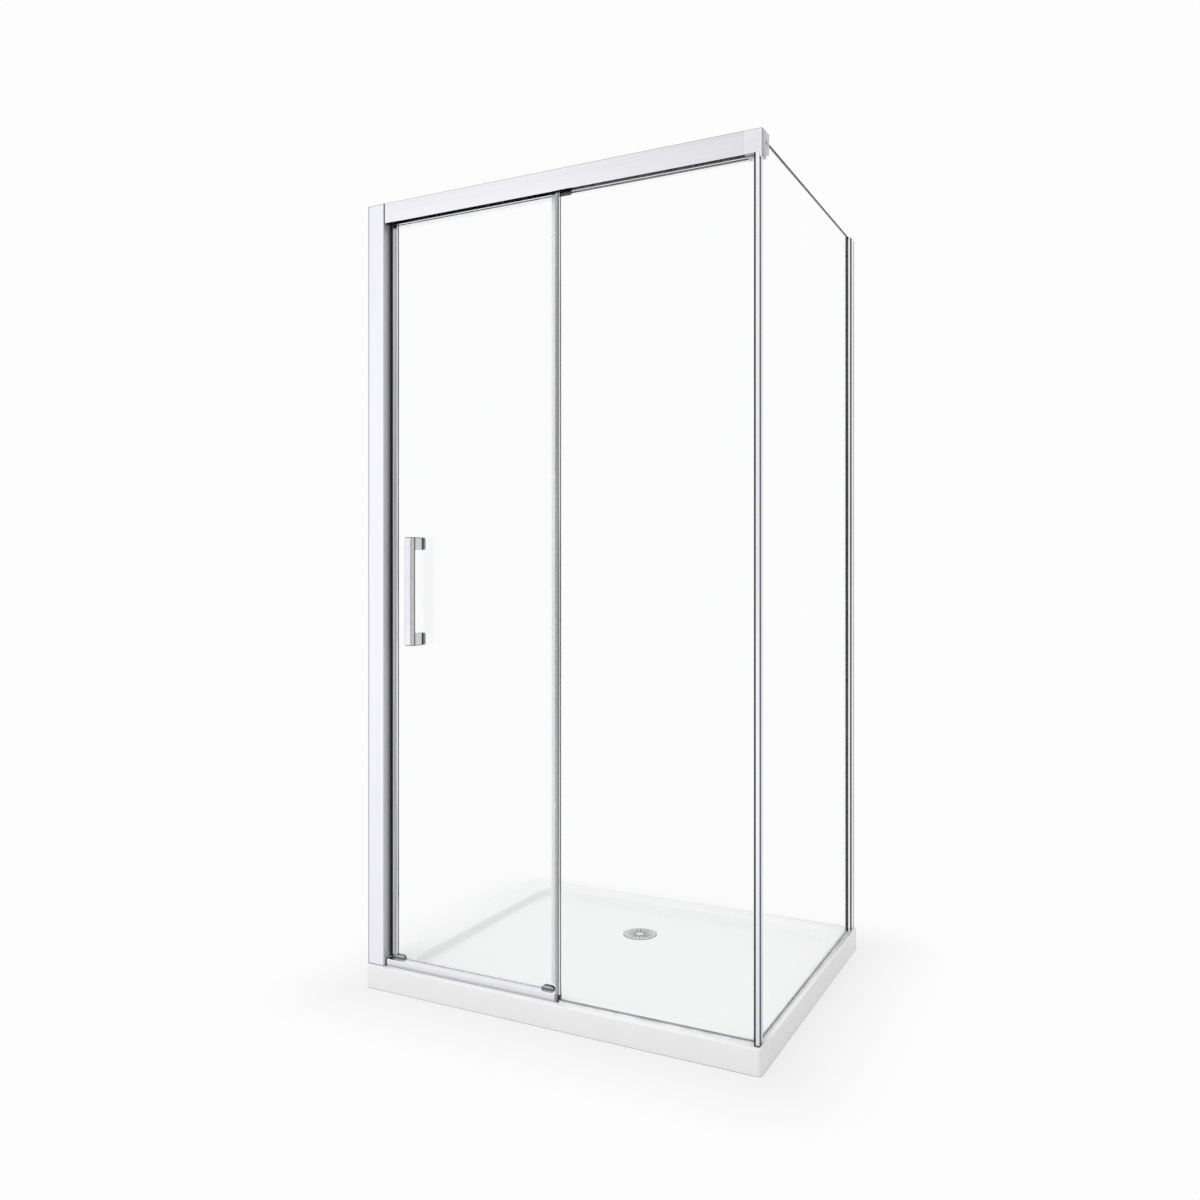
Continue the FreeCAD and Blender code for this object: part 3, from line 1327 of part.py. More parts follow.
make_tray()
make_waste()
make_left_post()
make_header()
make_corner_block()
make_frame_screws()
make_fixed_glass()
make_corner()
make_side_wall()
make_threshold()
make_door()
make_rollers()
make_handle()
doc.recompute()

for item in doc.Objects:
    if "Invalid" in item.State or "Error" in item.State:
        raise RuntimeError(f"{item.Label} could not be built: {item.State}")

for body in pieces:
    if body.Shape.isNull() or not body.Shape.isValid() or body.Shape.Volume <= 0:
        raise RuntimeError(f"{body.Label} has no sound shape")

os.makedirs("parts", exist_ok=True)
for body in pieces:
    body.Shape.exportStep(f"parts/{body.Label}.step")
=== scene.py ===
"""Looks of a corner shower enclosure with a sliding door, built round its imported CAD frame."""

import json
import math

import bpy
from bpy.props import FloatProperty, FloatVectorProperty, PointerProperty
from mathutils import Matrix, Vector


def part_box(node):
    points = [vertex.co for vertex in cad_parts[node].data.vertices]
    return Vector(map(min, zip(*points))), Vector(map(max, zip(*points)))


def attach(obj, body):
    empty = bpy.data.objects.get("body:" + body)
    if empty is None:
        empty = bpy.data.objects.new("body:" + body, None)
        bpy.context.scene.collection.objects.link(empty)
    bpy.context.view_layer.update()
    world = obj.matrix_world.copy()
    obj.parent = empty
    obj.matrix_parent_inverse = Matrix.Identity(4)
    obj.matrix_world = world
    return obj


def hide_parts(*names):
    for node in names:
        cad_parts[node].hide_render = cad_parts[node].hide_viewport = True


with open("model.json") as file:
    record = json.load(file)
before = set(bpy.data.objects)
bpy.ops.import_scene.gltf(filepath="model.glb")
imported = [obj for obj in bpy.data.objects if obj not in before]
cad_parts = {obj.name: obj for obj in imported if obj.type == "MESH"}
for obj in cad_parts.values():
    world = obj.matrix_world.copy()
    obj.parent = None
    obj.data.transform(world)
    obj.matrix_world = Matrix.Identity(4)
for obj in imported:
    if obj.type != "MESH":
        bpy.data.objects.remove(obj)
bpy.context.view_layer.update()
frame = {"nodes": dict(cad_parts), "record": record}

bl_info = {
    "name": "Shower enclosure",
    "version": (1, 0, 0),
    "blender": (4, 5, 0),
    "location": "View3D > Sidebar > Shower",
    "description": "Finishes each piece of a corner shower enclosure with a sliding door",
    "category": "Object",
}

NODES = frame["nodes"]
BODIES = frame["record"]["behaviour"]["bodies"]
NODE_BODY = {node: body for body, members in BODIES.items() for node in members}

# ---------------------------------------------------------------- sizes, in metres and degrees

# How a copy of a CAD node is merged, and how sharp an edge is that gets rounded
MERGE_DISTANCE = 0.00001
FLAT_ANGLE = 0.3
CLEAR_ANGLE = 25.0
SQUARE_ANGLE = 40.0
SMOOTH_ANGLE = 40.0
TRAY_SMOOTH_ANGLE = 50.0

# Tray: the rim's outer edge lies in a band round the top and gets a share of the rim's rounding,
# and the basin's wall lies inside a margin
RIM_BAND = 0.003
RIM_DEPTH = 0.002
RIM_SHARE = 0.4
BASIN_MARGIN = 0.05
BASIN_DEPTH = 0.0172
RIM_NEAR = 0.0005
BASIN_NEAR = 0.0006
# Height of the painted contact shadow along the tray's foot
TRAY_FOOT_SHADOW_HEIGHT = 0.004

# Waste: edges above these heights are rounded, the ring and its painted reflections begin at a
# share of the radius, and the strainer's painted shade in its slots reaches down from its top
RING_TOP = 0.030
RING_ROUNDING = 0.0006
RING_INNER = 0.78
STRAINER_TOP = 0.0315
STRAINER_ROUNDING = 0.0003
STRAINER_SHADE_DEPTH = 0.0022

# Heights of the painted shadow lines at the ends of the posts, of the painted shade over the
# corner post's lower part, and of the painted dark band below the side pane's top
POST_END_SHADE_HEIGHT = 0.003
CORNER_FOOT_SHADOW_HEIGHT = 0.006
CORNER_LOWER_SHADE_HEIGHT = 0.45
SIDE_TOP_PAINTED_BAND = 0.0055

# ---------------------------------------------------------------- tones

# Stops of (share of the way, tone), where 1 leaves the material's tone as it is. They are painted
# light and shade: painted reflections for what polished sections mirror, dark lines at their edges
# and soft changes over their faces, painted highlights where a tone is above 1, and painted shadow
# and shade at feet, ends and in the strainer's slots.
TRAY_FOOT_PAINTED_SHADOW = [(0.0, 0.42), (0.22, 0.5), (0.4, 1.0)]
RING_PAINTED_REFLECTIONS = [(0.0, 0.2), (0.1, 0.5), (0.25, 0.8), (0.7, 0.72), (0.82, 0.2), (1.0, 0.12)]
STRAINER_PAINTED_SLOT_SHADE = [(0.0, 0.03), (0.55, 0.06), (0.85, 0.7), (1.0, 1.0)]
STRAINER_PAINTED_REFLECTIONS = [(0.0, 1.0), (0.3, 0.95), (0.85, 0.85), (1.0, 0.6)]
POST_PAINTED_REFLECTIONS_ACROSS = [(0.0, 0.46), (0.05, 0.55), (0.08, 1.0), (0.95, 1.0), (0.975, 0.36), (1.0, 0.8)]
POST_TOP_PAINTED_SHADE = [(0.0, 1.0), (0.5, 0.95), (1.0, 0.55)]
POST_FOOT_PAINTED_SHADOW = [(0.0, 0.35), (0.5, 0.5), (1.0, 1.0)]
POST_PAINTED_REFLECTIONS_UPWARDS = [(0.0, 0.92), (0.4, 1.0), (0.7, 0.98), (1.0, 0.9)]
RAIL_PAINTED_REFLECTIONS_UPWARDS = [(0.0, 1.0), (0.95, 0.96), (0.97, 0.6), (0.995, 0.6), (1.0, 0.95)]
RAIL_PAINTED_REFLECTIONS_ALONG = [(0.0, 1.0), (0.5, 1.0), (1.0, 0.87)]
BLOCK_PAINTED_REFLECTIONS_UPWARDS = [(0.0, 0.5), (0.05, 1.0), (0.96, 1.0), (0.975, 0.65), (0.99, 0.7), (1.0, 0.95)]
BLOCK_PAINTED_REFLECTIONS_BACKWARDS = [(0.0, 0.94), (0.02, 0.25), (0.12, 0.30), (0.5, 0.37), (0.9, 0.42), (1.0, 0.3)]
EDGE_PROFILE_PAINTED_REFLECTIONS = [
    (0.0, 0.6), (0.2, 0.42), (0.58, 0.46), (0.7, 0.16), (0.84, 0.18), (0.94, 0.85), (1.0, 1.0),
]
FOOT_SEAL_PAINTED_LIGHT_AND_SHADE = [(0.0, 1.7), (0.6, 1.7), (0.74, 0.75), (1.0, 0.65)]
CORNER_PAINTED_REFLECTIONS = [(0.0, 1.0), (0.58, 0.8), (0.66, 0.95), (0.75, 1.0), (0.93, 1.0), (1.0, 0.7)]
CORNER_FOOT_PAINTED_SHADOW = [(0.0, 0.12), (0.4, 0.2), (0.7, 0.8), (1.0, 1.0)]
CORNER_LOWER_PAINTED_SHADE = [(0.0, 0.78), (1.0, 1.0)]
SIDE_POST_PAINTED_REFLECTIONS_BACKWARDS = [(0.0, 0.7), (0.1, 1.0), (0.4, 0.9), (0.6, 0.35), (1.0, 0.3)]
SIDE_POST_PAINTED_REFLECTIONS_ACROSS = [(0.0, 0.3), (0.12, 0.4), (0.2, 1.0), (1.0, 1.0)]
SIDE_CHANNEL_PAINTED_REFLECTIONS = [(0.0, 0.1), (0.06, 0.9), (0.5, 1.0), (0.75, 0.35), (1.0, 0.2)]
THRESHOLD_PAINTED_SHADOW_AND_REFLECTIONS = [(0.0, 0.3), (0.05, 0.5), (0.1, 0.80), (0.75, 0.90), (0.9, 0.97), (1.0, 0.94)]
THRESHOLD_PAINTED_REFLECTIONS_BACKWARDS = [(0.0, 1.0), (0.72, 0.95), (0.86, 0.3), (1.0, 0.25)]
END_CAP_PAINTED_REFLECTIONS = [(0.0, 2.4), (0.55, 2.0), (0.75, 0.4), (1.0, 0.5)]
GUIDE_PAINTED_REFLECTIONS = [(0.0, 0.4), (0.3, 1.0), (0.7, 1.6), (0.9, 3.2), (1.0, 2.6)]
LEAD_PROFILE_PAINTED_REFLECTIONS = [
    (0.0, 0.7), (0.15, 0.95), (0.45, 0.85), (0.6, 0.55), (0.85, 0.4), (0.95, 1.0),
]
HANDLE_ENDS_PAINTED_REFLECTIONS = [(0.0, 0.3), (0.006, 0.5), (0.012, 1.0), (0.988, 1.0), (0.994, 0.5), (1.0, 0.3)]
HANDLE_PAINTED_REFLECTIONS_ACROSS = [(0.0, 0.45), (0.06, 0.8), (0.2, 0.93), (0.9, 0.96), (0.95, 0.5), (1.0, 0.66)]
HANDLE_PAINTED_REFLECTIONS_BACKWARDS = [
    (0.0, 1.0), (0.12, 0.75), (0.25, 1.0), (0.28, 0.8), (0.33, 0.22), (0.40, 0.2),
    (0.45, 1.0), (0.8, 1.03), (1.0, 0.75),
]
HANDLE_CAP_PAINTED_REFLECTIONS = [
    (0.0, 0.6), (0.6, 0.5), (0.68, 0.12), (0.78, 0.38), (0.86, 0.28), (0.93, 0.3), (1.0, 0.3),
]

# Light and dark streaks of the profiles, and tones of the fittings
POST_STREAKS = (0.97, 0.97, 0.978), (0.94, 0.94, 0.948)
RAIL_STREAKS = (0.94, 0.94, 0.955), (0.905, 0.905, 0.92)
THRESHOLD_STREAKS = (0.93, 0.93, 0.945), (0.86, 0.86, 0.875)
LEAD_STREAKS = (0.95, 0.95, 0.965), (0.62, 0.62, 0.63)
EDGE_PROFILE_LIGHT = (0.95, 0.95, 0.965)
CORNER_LIGHT = (0.97, 0.97, 0.985)
CORNER_DARK = 0.86
MILL_DARK = 0.45
TOP_CAP_TONE = (0.80, 0.80, 0.815)
BLOCK_TONE = (0.91, 0.91, 0.925)
STRAINER_TONE = (0.74, 0.74, 0.75)
HANDLE_TONE = (0.96, 0.96, 0.975)
HANDLE_CAP_TONE = (0.72, 0.72, 0.74)

# Roughness of each finish, from its least to its most
POLISHED = (0.08, 0.18)
PLATED = (0.05, 0.14)
BRUSHED = (0.2, 0.35)
MATT_STEEL = (0.3, 0.45)
SATIN_STRAINER = (0.12, 0.3)
SOFT_POST = (0.34, 0.46)
MOULDED = (0.3, 0.5)
EXTRUDED = (0.42, 0.62)
MILKY = (0.12, 0.3)

# How metallic the wall post is, and how deep the clouds are in steel and dark chrome
POST_MIRROR = 0.6
CLOUDY = 0.3

# Scales of the noise in metal: across a draw, along it, in plating, and how much finer grain is
ACROSS_DRAW = 260.0
ALONG_DRAW = 2.2
IN_PLATING = 38.0
FINER = 3.1

# Share of a normal along a pane's thickness, below which a face is a cut edge
CUT_EDGE = 0.6

# ---------------------------------------------------------------- stage

FLOOR_CORNERS = 96
FLOOR_TONES = 0.60, 0.63
HORIZON_FRONT = -1.0, -0.6
HORIZON_FRONT_WHITE = 0.90
KEY_PLACE = (-2.0, -2.6, 3.9)
FRONT_PLACE = (-0.6, -4.2, 2.2)
LAMP_TARGET = (0.0, 0.0, 0.5)
LAMP_SIZE = 3.0
CAMERA_PLACE = (1.1594, -2.3750, 1.0061)
CAMERA_TURN = (math.radians(90.0), 0.0, 0.4695)
CAMERA_SHIFT = -0.0063, -0.0233
SENSOR_WIDTH = 36.0
CLIP_END = 100.0
WHITE = (1.0, 1.0, 1.0, 1.0)


# ---------------------------------------------------------------- what a user may change


def colour(label, words, value):
    """A colour that a user can change."""
    return FloatVectorProperty(
        name=label,
        description=words,
        default=value,
        subtype="COLOR",
        size=3,
        min=0.0,
        max=1.0,
    )


def length(label, words, value):
    """A length that a user can change, in metres."""
    return FloatProperty(
        name=label, description=words, default=value, min=0.0, unit="LENGTH", precision=5
    )


def share(label, words, value):
    """A share from 0 to 1 that a user can change."""
    return FloatProperty(
        name=label, description=words, default=value, min=0.0, max=1.0, subtype="FACTOR"
    )


def power(label, words, value):
    """The power of a lamp that a user can change, in watts."""
    return FloatProperty(name=label, description=words, default=value, min=0.0, unit="POWER")


class TrayLook(bpy.types.PropertyGroup):
    """The tray."""

    acrylic: colour("Acrylic", "Colour of the tray", (0.905, 0.905, 0.90))
    rim_rounding: length("Rim rounding", "Rounding of the rim's outer edge", 0.0024)
    basin_rounding: length(
        "Basin rounding", "Rounding at the top and foot of the basin's wall", 0.0082
    )
    gloss: share("Roughness", "Roughness of the acrylic", 0.22)


class MetalLook(bpy.types.PropertyGroup):
    """Profiles, fittings and fasteners."""

    profile_light: colour(
        "Profile, light", "Light streaks of the polished profiles", (0.93, 0.93, 0.945)
    )
    profile_dark: colour(
        "Profile, dark", "Dark streaks of the polished profiles", (0.60, 0.60, 0.62)
    )
    chrome: colour("Chrome", "Waste flange and axle nuts", (0.86, 0.86, 0.875))
    dark_chrome: colour("Dark chrome", "Guides, end cap and set screw", (0.16, 0.16, 0.17))
    mill: colour("Mill aluminium", "Hidden wall channel", (0.58, 0.58, 0.60))
    steel: colour("Steel", "Screws and axles", (0.52, 0.52, 0.53))
    edge_rounding: length("Edge rounding", "Rounding of the fittings' edges", 0.0006)


class GlassLook(bpy.types.PropertyGroup):
    """The three panes."""

    tint: colour("Tint", "Tint of a pane seen through", (0.985, 0.99, 0.988))
    edge: colour("Edge", "Colour of a pane's cut edges", (0.10, 0.12, 0.115))
    # top_edge also colours the side pane's painted dark band below its top edge
    top_edge: colour("Top edge", "Colour of the side pane's free top edge", (0.020, 0.023, 0.022))
    refraction: FloatProperty(
        name="IOR", description="Refractive index of the glass", default=1.48, min=1.0, max=2.0
    )


class SealLook(bpy.types.PropertyGroup):
    """Rubber, plastic and nylon."""

    black: colour("Black rubber", "Gaskets and closing seals", (0.016, 0.016, 0.017))
    wedge: colour(
        "Wedge", "Wedge that clamps the fixed pane in the head rail", (0.15, 0.15, 0.155)
    )
    grey: colour("Grey seal", "Seals under the fixed panes", (0.42, 0.43, 0.44))
    clear: colour("Clear seal", "Seals of the sliding door", (0.95, 0.96, 0.965))
    nylon: colour("Nylon", "Rollers and back nut", (0.82, 0.82, 0.80))
    plastic: colour("Black plastic", "Brackets and blocks", (0.020, 0.020, 0.021))


class StageLook(bpy.types.PropertyGroup):
    """Floor, light and camera."""

    floor_radius: length("Floor", "Radius of the floor", 16.0)
    # floor_white and shadow_reach set the floor's painted shadow round the tray
    floor_white: share(
        "Floor white", "Share of plain white in the floor as the camera sees it at the tray", 0.73
    )
    page_white: share("Page white", "White of the background as the camera sees it", 0.982)
    shadow_reach: length("Shadow", "Distance from the tray at which the floor is all white", 0.24)
    key_power: power("Key", "Power of the large soft lamp", 34.0)
    fill_power: power("Fill", "Power of the lamp in front", 22.0)
    sky: share("Sky", "Brightness of the light from the horizon", 0.76)
    overhead: share("Overhead", "Brightness of the light from above", 1.0)
    right_side: share("Right side", "Share of the light that is left from the right", 0.82)
    lens: FloatProperty(
        name="Lens",
        description="Focal length of the camera",
        default=31.08,
        min=10.0,
        unit="CAMERA",
    )


class ShowerLook(bpy.types.PropertyGroup):
    """Everything that a user may change."""

    tray: PointerProperty(type=TrayLook, name="Tray", description="The tray")
    metal: PointerProperty(
        type=MetalLook, name="Metal", description="Profiles, fittings and fasteners"
    )
    glass: PointerProperty(type=GlassLook, name="Glass", description="The three panes")
    seal: PointerProperty(type=SealLook, name="Seals", description="Rubber, plastic and nylon")
    stage: PointerProperty(type=StageLook, name="Stage", description="Floor, light and camera")


def look():
    """The values that a user may change."""
    return bpy.context.scene.shower_look


# ---------------------------------------------------------------- materials


class Paint:
    """The nodes of one material, added and joined one after the other."""

    def __init__(self, name):
        self.material = bpy.data.materials.new(name)
        self.material.use_nodes = True
        self.tree = self.material.node_tree
        self.shader = self.tree.nodes["Principled BSDF"]
        self.output = self.tree.nodes["Material Output"]
        self.place = self.add("ShaderNodeTexCoord").outputs["Object"]

    def add(self, kind, **settings):
        node = self.tree.nodes.new(kind)
        for name, value in settings.items():
            setattr(node, name, value)
        return node

    def feed(self, socket, value):
        """Join a node's output to a socket, or set the socket to a plain value."""
        if isinstance(value, bpy.types.NodeSocket):
            self.tree.links.new(value, socket)
        else:
            socket.default_value = value

    def set(self, shader=None, **sockets):
        """Set or join the sockets of a shader, the material's own unless another is named."""
        for name, value in sockets.items():
            self.feed((shader or self.shader).inputs[name.replace("_", " ")], value)

    def noise(self, stretch, detail=3.0, roughness=0.5):
        """Noise over the piece's own place, stretched by three scales."""
        mapping = self.add("ShaderNodeMapping")
        mapping.inputs["Scale"].default_value = stretch
        self.feed(mapping.inputs["Vector"], self.place)
        noise = self.add("ShaderNodeTexNoise")
        noise.inputs["Scale"].default_value = 1.0
        noise.inputs["Detail"].default_value = detail
        noise.inputs["Roughness"].default_value = roughness
        self.feed(noise.inputs["Vector"], mapping.outputs["Vector"])
        return noise.outputs["Fac"]

    def grain(self, scale, detail=3.0):
        """Noise with one scale for all directions."""
        return self.noise((scale, scale, scale), detail)

    def span(self, value, low, high, new_low, new_high):
        """A value's reach from low to high, laid over a new one."""
        node = self.add("ShaderNodeMapRange")
        self.feed(node.inputs["Value"], value)
        for name, number in (
            ("From Min", low),
            ("From Max", high),
            ("To Min", new_low),
            ("To Max", new_high),
        ):
            node.inputs[name].default_value = number
        return node.outputs["Result"]

    def roughness(self, noise, least, most):
        """Roughness that follows a noise, most of which lies between 0.3 and 0.7."""
        return self.span(noise, 0.3, 0.7, least, most)

    def ramp(self, value, stops):
        """Colours at given shares of a value."""
        node = self.add("ShaderNodeValToRGB")
        points = node.color_ramp.elements
        while len(points) < len(stops):
            points.new(0.5)
        for point, (share_along, tone) in zip(points, stops):
            point.position = share_along
            point.color = (*tone, 1.0)
        self.feed(node.inputs["Fac"], value)
        return node.outputs["Color"]

    def mix(self, factor, first, second, blend):
        node = self.add("ShaderNodeMix", data_type="RGBA", blend_type=blend)
        self.feed(node.inputs[0], factor)
        self.feed(node.inputs[6], first)
        self.feed(node.inputs[7], second)
        return node.outputs[2]

    def math(self, operation, first, second=0.0):
        node = self.add("ShaderNodeMath", operation=operation)
        self.feed(node.inputs[0], first)
        self.feed(node.inputs[1], second)
        return node.outputs[0]

    def split(self, vector):
        node = self.add("ShaderNodeSeparateXYZ")
        self.feed(node.inputs[0], vector)
        return node.outputs

    def measure(self, along):
        """The place along X, Y or Z, or R for the distance from the waste's upright axis."""
        axes = self.split(self.place)
        if along != "R":
            return axes["XYZ".index(along)]
        flat = self.add("ShaderNodeCombineXYZ")
        self.feed(flat.inputs[0], axes[0])
        self.feed(flat.inputs[1], axes[1])
        apart = self.add("ShaderNodeVectorMath", operation="DISTANCE")
        self.feed(apart.inputs[0], flat.outputs[0])
        apart.inputs[1].default_value = (*waste_centre(), 0.0)
        return apart.outputs["Value"]

    def painted_light_bands(self, tone, stripes):
        """Multiply a tone by stripes of painted light and shade, each of which changes along a
        measure.
        """
        for along, low, high, stops in stripes or ():
            across = self.span(self.measure(along), low, high, 0.0, 1.0)
            band = self.ramp(across, [(at, grey(value)) for at, value in stops])
            tone = self.mix(1.0, tone, band, "MULTIPLY")
        return tone

    def blend(self, factor, first, second):
        """One shader where a factor is 0, and another where it is 1."""
        node = self.add("ShaderNodeMixShader")
        self.feed(node.inputs[0], factor)
        self.feed(node.inputs[1], first)
        self.feed(node.inputs[2], second)
        return node.outputs[0]

    def clear_to_light(self, shader):
        """Let shadow and diffuse rays pass a shader as if it weren't there."""
        rays = self.add("ShaderNodeLightPath").outputs
        passed = self.math("MAXIMUM", rays["Is Shadow Ray"], rays["Is Diffuse Ray"])
        nothing = self.add("ShaderNodeBsdfTransparent")
        self.end(self.blend(passed, shader, nothing.outputs[0]))

    def bump(self, height, strength, distance):
        node = self.add("ShaderNodeBump")
        node.inputs["Strength"].default_value = strength
        node.inputs["Distance"].default_value = distance
        self.feed(node.inputs["Height"], height)
        self.feed(self.shader.inputs["Normal"], node.outputs["Normal"])

    def end(self, shader):
        self.feed(self.output.inputs["Surface"], shader)


def grey(value):
    """A grey with a trace of blue."""
    return (value, value, value * 1.012)


def darker(tone, factor):
    """A tone times a factor."""
    return tuple(value * factor for value in tone)


def waste_centre():
    """The place of the waste's upright axis in X and Y."""
    low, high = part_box("waste_flange")
    return (low.x + high.x) / 2, (low.y + high.y) / 2


def over(node, axis, stops):
    """A stripe of painted light and shade over a node's whole reach along an axis."""
    low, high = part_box(node)
    return axis, getattr(low, axis.lower()), getattr(high, axis.lower()), stops


def under_top(node, depth, stops):
    """A stripe of painted light and shade over the uppermost part of a node."""
    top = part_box(node)[1].z
    return "Z", top - depth, top, stops


def above_foot(node, height, stops):
    """A stripe of painted light and shade over the lowest part of a node."""
    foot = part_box(node)[0].z
    return "Z", foot, foot + height, stops


def metal(name, light, dark, stretch, rough, stripes, grain, mirror=1.0):
    """Drawn or plated metal: streaks along the draw, stripes of painted reflections across the
    section, fine grain.
    """
    paint = Paint(name)
    streaks = paint.noise(stretch, detail=4.0, roughness=0.55)
    tone = paint.painted_light_bands(paint.ramp(streaks, [(0.30, dark), (0.56, light)]), stripes)
    fine = paint.noise([value * FINER for value in stretch], detail=2.0, roughness=0.6)
    paint.set(Base_Color=tone, Metallic=mirror, Roughness=paint.roughness(fine, *rough))
    paint.bump(fine, strength=grain, distance=0.0002)
    return paint.material


def drawn_profile(name, axis, stripes=None, light=None, dark=None, rough=POLISHED, mirror=1.0):
    """Polished aluminium, drawn along one axis."""
    metals = look().metal
    stretch = [ACROSS_DRAW, ACROSS_DRAW, ACROSS_DRAW]
    stretch["XYZ".index(axis)] = ALONG_DRAW
    light = light or tuple(metals.profile_light)
    dark = dark or tuple(metals.profile_dark)
    return metal(name, light, dark, stretch, rough, stripes, grain=0.02, mirror=mirror)


def plated(name, tone, spread=0.12, rough=PLATED, stripes=None):
    """Chrome plating or bright steel with slight clouds in its tone."""
    tone = tuple(tone)
    stretch = (IN_PLATING, IN_PLATING, IN_PLATING)
    return metal(name, tone, darker(tone, 1.0 - spread), stretch, rough, stripes, grain=0.01)


def acrylic():
    """Glossy white sanitary acrylic with a faint unevenness and a painted contact shadow along the
    floor.
    """
    tray = look().tray
    paint = Paint("tray_acrylic")
    tone = tuple(tray.acrylic)
    clouds = paint.grain(5.0)
    low_tone = darker(tone, 0.985)
    # Painted contact shadow: the acrylic darkens towards the floor
    foot = [("Z", 0.0, TRAY_FOOT_SHADOW_HEIGHT, TRAY_FOOT_PAINTED_SHADOW)]
    base = paint.painted_light_bands(paint.ramp(clouds, [(0.35, low_tone), (0.65, tone)]), foot)
    fine = paint.grain(900.0, detail=2.0)
    rough = paint.roughness(fine, tray.gloss * 0.8, tray.gloss * 1.2)
    paint.set(Base_Color=base, Roughness=rough)
    paint.set(Specular_IOR_Level=0.5, Coat_Weight=0.35, Coat_Roughness=0.08)
    paint.bump(paint.grain(14.0, detail=2.0), strength=0.06, distance=0.0006)
    return paint.material


def clear_glass(name, normal_axis, top=None):
    """A pane: clear on its faces, dark on its cut edges, and with a painted dark band just below a
    free top edge.

    The top edge and its painted band, a painted reflection, are darker and duller than the others,
    and the band is given by the height it starts at.
    """
    glass = look().glass
    paint = Paint(name)
    clouds = paint.grain(3.0, detail=2.0)
    tint = tuple(glass.tint)
    paint.set(Base_Color=paint.ramp(clouds, [(0.35, darker(tint, 0.994)), (0.65, tint)]))
    paint.set(Roughness=0.0, IOR=glass.refraction, Transmission_Weight=1.0)
    edge = paint.add("ShaderNodeBsdfPrincipled")
    cut = paint.grain(60.0)
    dark = tuple(glass.edge if top is None else glass.top_edge)
    light = tuple(min(1.0, value * 2.2) for value in dark)
    paint.set(edge, Base_Color=paint.ramp(cut, [(0.35, dark), (0.7, light)]))
    normal = paint.add("ShaderNodeNewGeometry").outputs["Normal"]
    facing = paint.math("ABSOLUTE", paint.split(normal)["XYZ".index(normal_axis)])
    is_edge = paint.math("LESS_THAN", facing, CUT_EDGE)
    if top is None:
        paint.set(edge, Roughness=0.12, Transmission_Weight=0.35)
    else:
        # Painted reflection: a dark band on the faces below the top edge
        in_painted_top_band = paint.math("GREATER_THAN", paint.measure("Z"), top)
        is_edge = paint.math("MAXIMUM", is_edge, in_painted_top_band)
        paint.set(edge, Roughness=0.4, Transmission_Weight=0.0, Specular_IOR_Level=0.2)
    paint.clear_to_light(paint.blend(is_edge, paint.shader.outputs[0], edge.outputs[0]))
    return paint.material


def rubber(name, tone, rough=EXTRUDED, stripes=None):
    """Extruded rubber or moulded plastic: matt, with a fine skin."""
    tone = tuple(tone)
    light = tuple(min(1.0, value * 1.35 + 0.004) for value in tone)
    paint = Paint(name)
    clouds = paint.grain(30.0)
    fine = paint.grain(1400.0, detail=2.0)
    base = paint.painted_light_bands(paint.ramp(clouds, [(0.35, tone), (0.7, light)]), stripes)
    paint.set(Base_Color=base, Roughness=paint.roughness(fine, *rough), Specular_IOR_Level=0.22)
    paint.bump(fine, strength=0.12, distance=0.0001)
    return paint.material


def foot_rubber(name, node):
    """Grey rubber under a fixed pane, with painted light making it pale below and painted shade
    along its upper lips.
    """
    return rubber(name, look().seal.grey, stripes=[over(node, "Z", FOOT_SEAL_PAINTED_LIGHT_AND_SHADE)])


def clear_seal(name):
    """Clear plastic strip, slightly milky, with upright lines."""
    paint = Paint(name)
    tone = tuple(look().seal.clear)
    lines = paint.noise((900.0, 900.0, 3.0))
    paint.set(Base_Color=paint.ramp(lines, [(0.35, darker(tone, 0.86)), (0.65, tone)]))
    paint.set(Roughness=paint.roughness(lines, *MILKY), IOR=1.45, Transmission_Weight=0.7)
    paint.clear_to_light(paint.shader.outputs[0])
    return paint.material


# ---------------------------------------------------------------- modelling


def deselect_all():
    """Leave edit mode, if any, and select nothing."""
    if bpy.context.object and bpy.context.object.mode != "OBJECT":
        bpy.ops.object.mode_set(mode="OBJECT")
    bpy.ops.object.select_all(action="DESELECT")


def pick(piece):
    """Select one piece alone and make it the active one."""
    deselect_all()
    piece.select_set(True)
    bpy.context.view_layer.objects.active = piece


def dress(material, *names):
    """Give carried CAD nodes a finish."""
    for name in names:
        item = NODES[name]
        if not item.material_slots:
            item.data.materials.append(material)
        for place in item.material_slots:
            place.material = material


def twin(node, name, material):
    """A merged copy of a CAD node to be finished by hand, which stands for that node."""
    source = NODES[node]
    copy = source.copy()
    copy.data = source.data.copy()
    copy.parent = None
    for key in list(copy.keys()):
        del copy[key]
    copy.name = name
    copy.data.name = name
    bpy.context.scene.collection.objects.link(copy)
    pick(copy)
    bpy.ops.object.mode_set(mode="EDIT")
    bpy.ops.mesh.select_all(action="SELECT")
    bpy.ops.mesh.customdata_custom_splitnormals_clear()
    bpy.ops.mesh.remove_doubles(threshold=MERGE_DISTANCE)
    bpy.ops.mesh.dissolve_limited(angle_limit=math.radians(FLAT_ANGLE))
    bpy.ops.object.mode_set(mode="OBJECT")
    copy.data.materials.clear()
    copy.data.materials.append(material)
    return copy


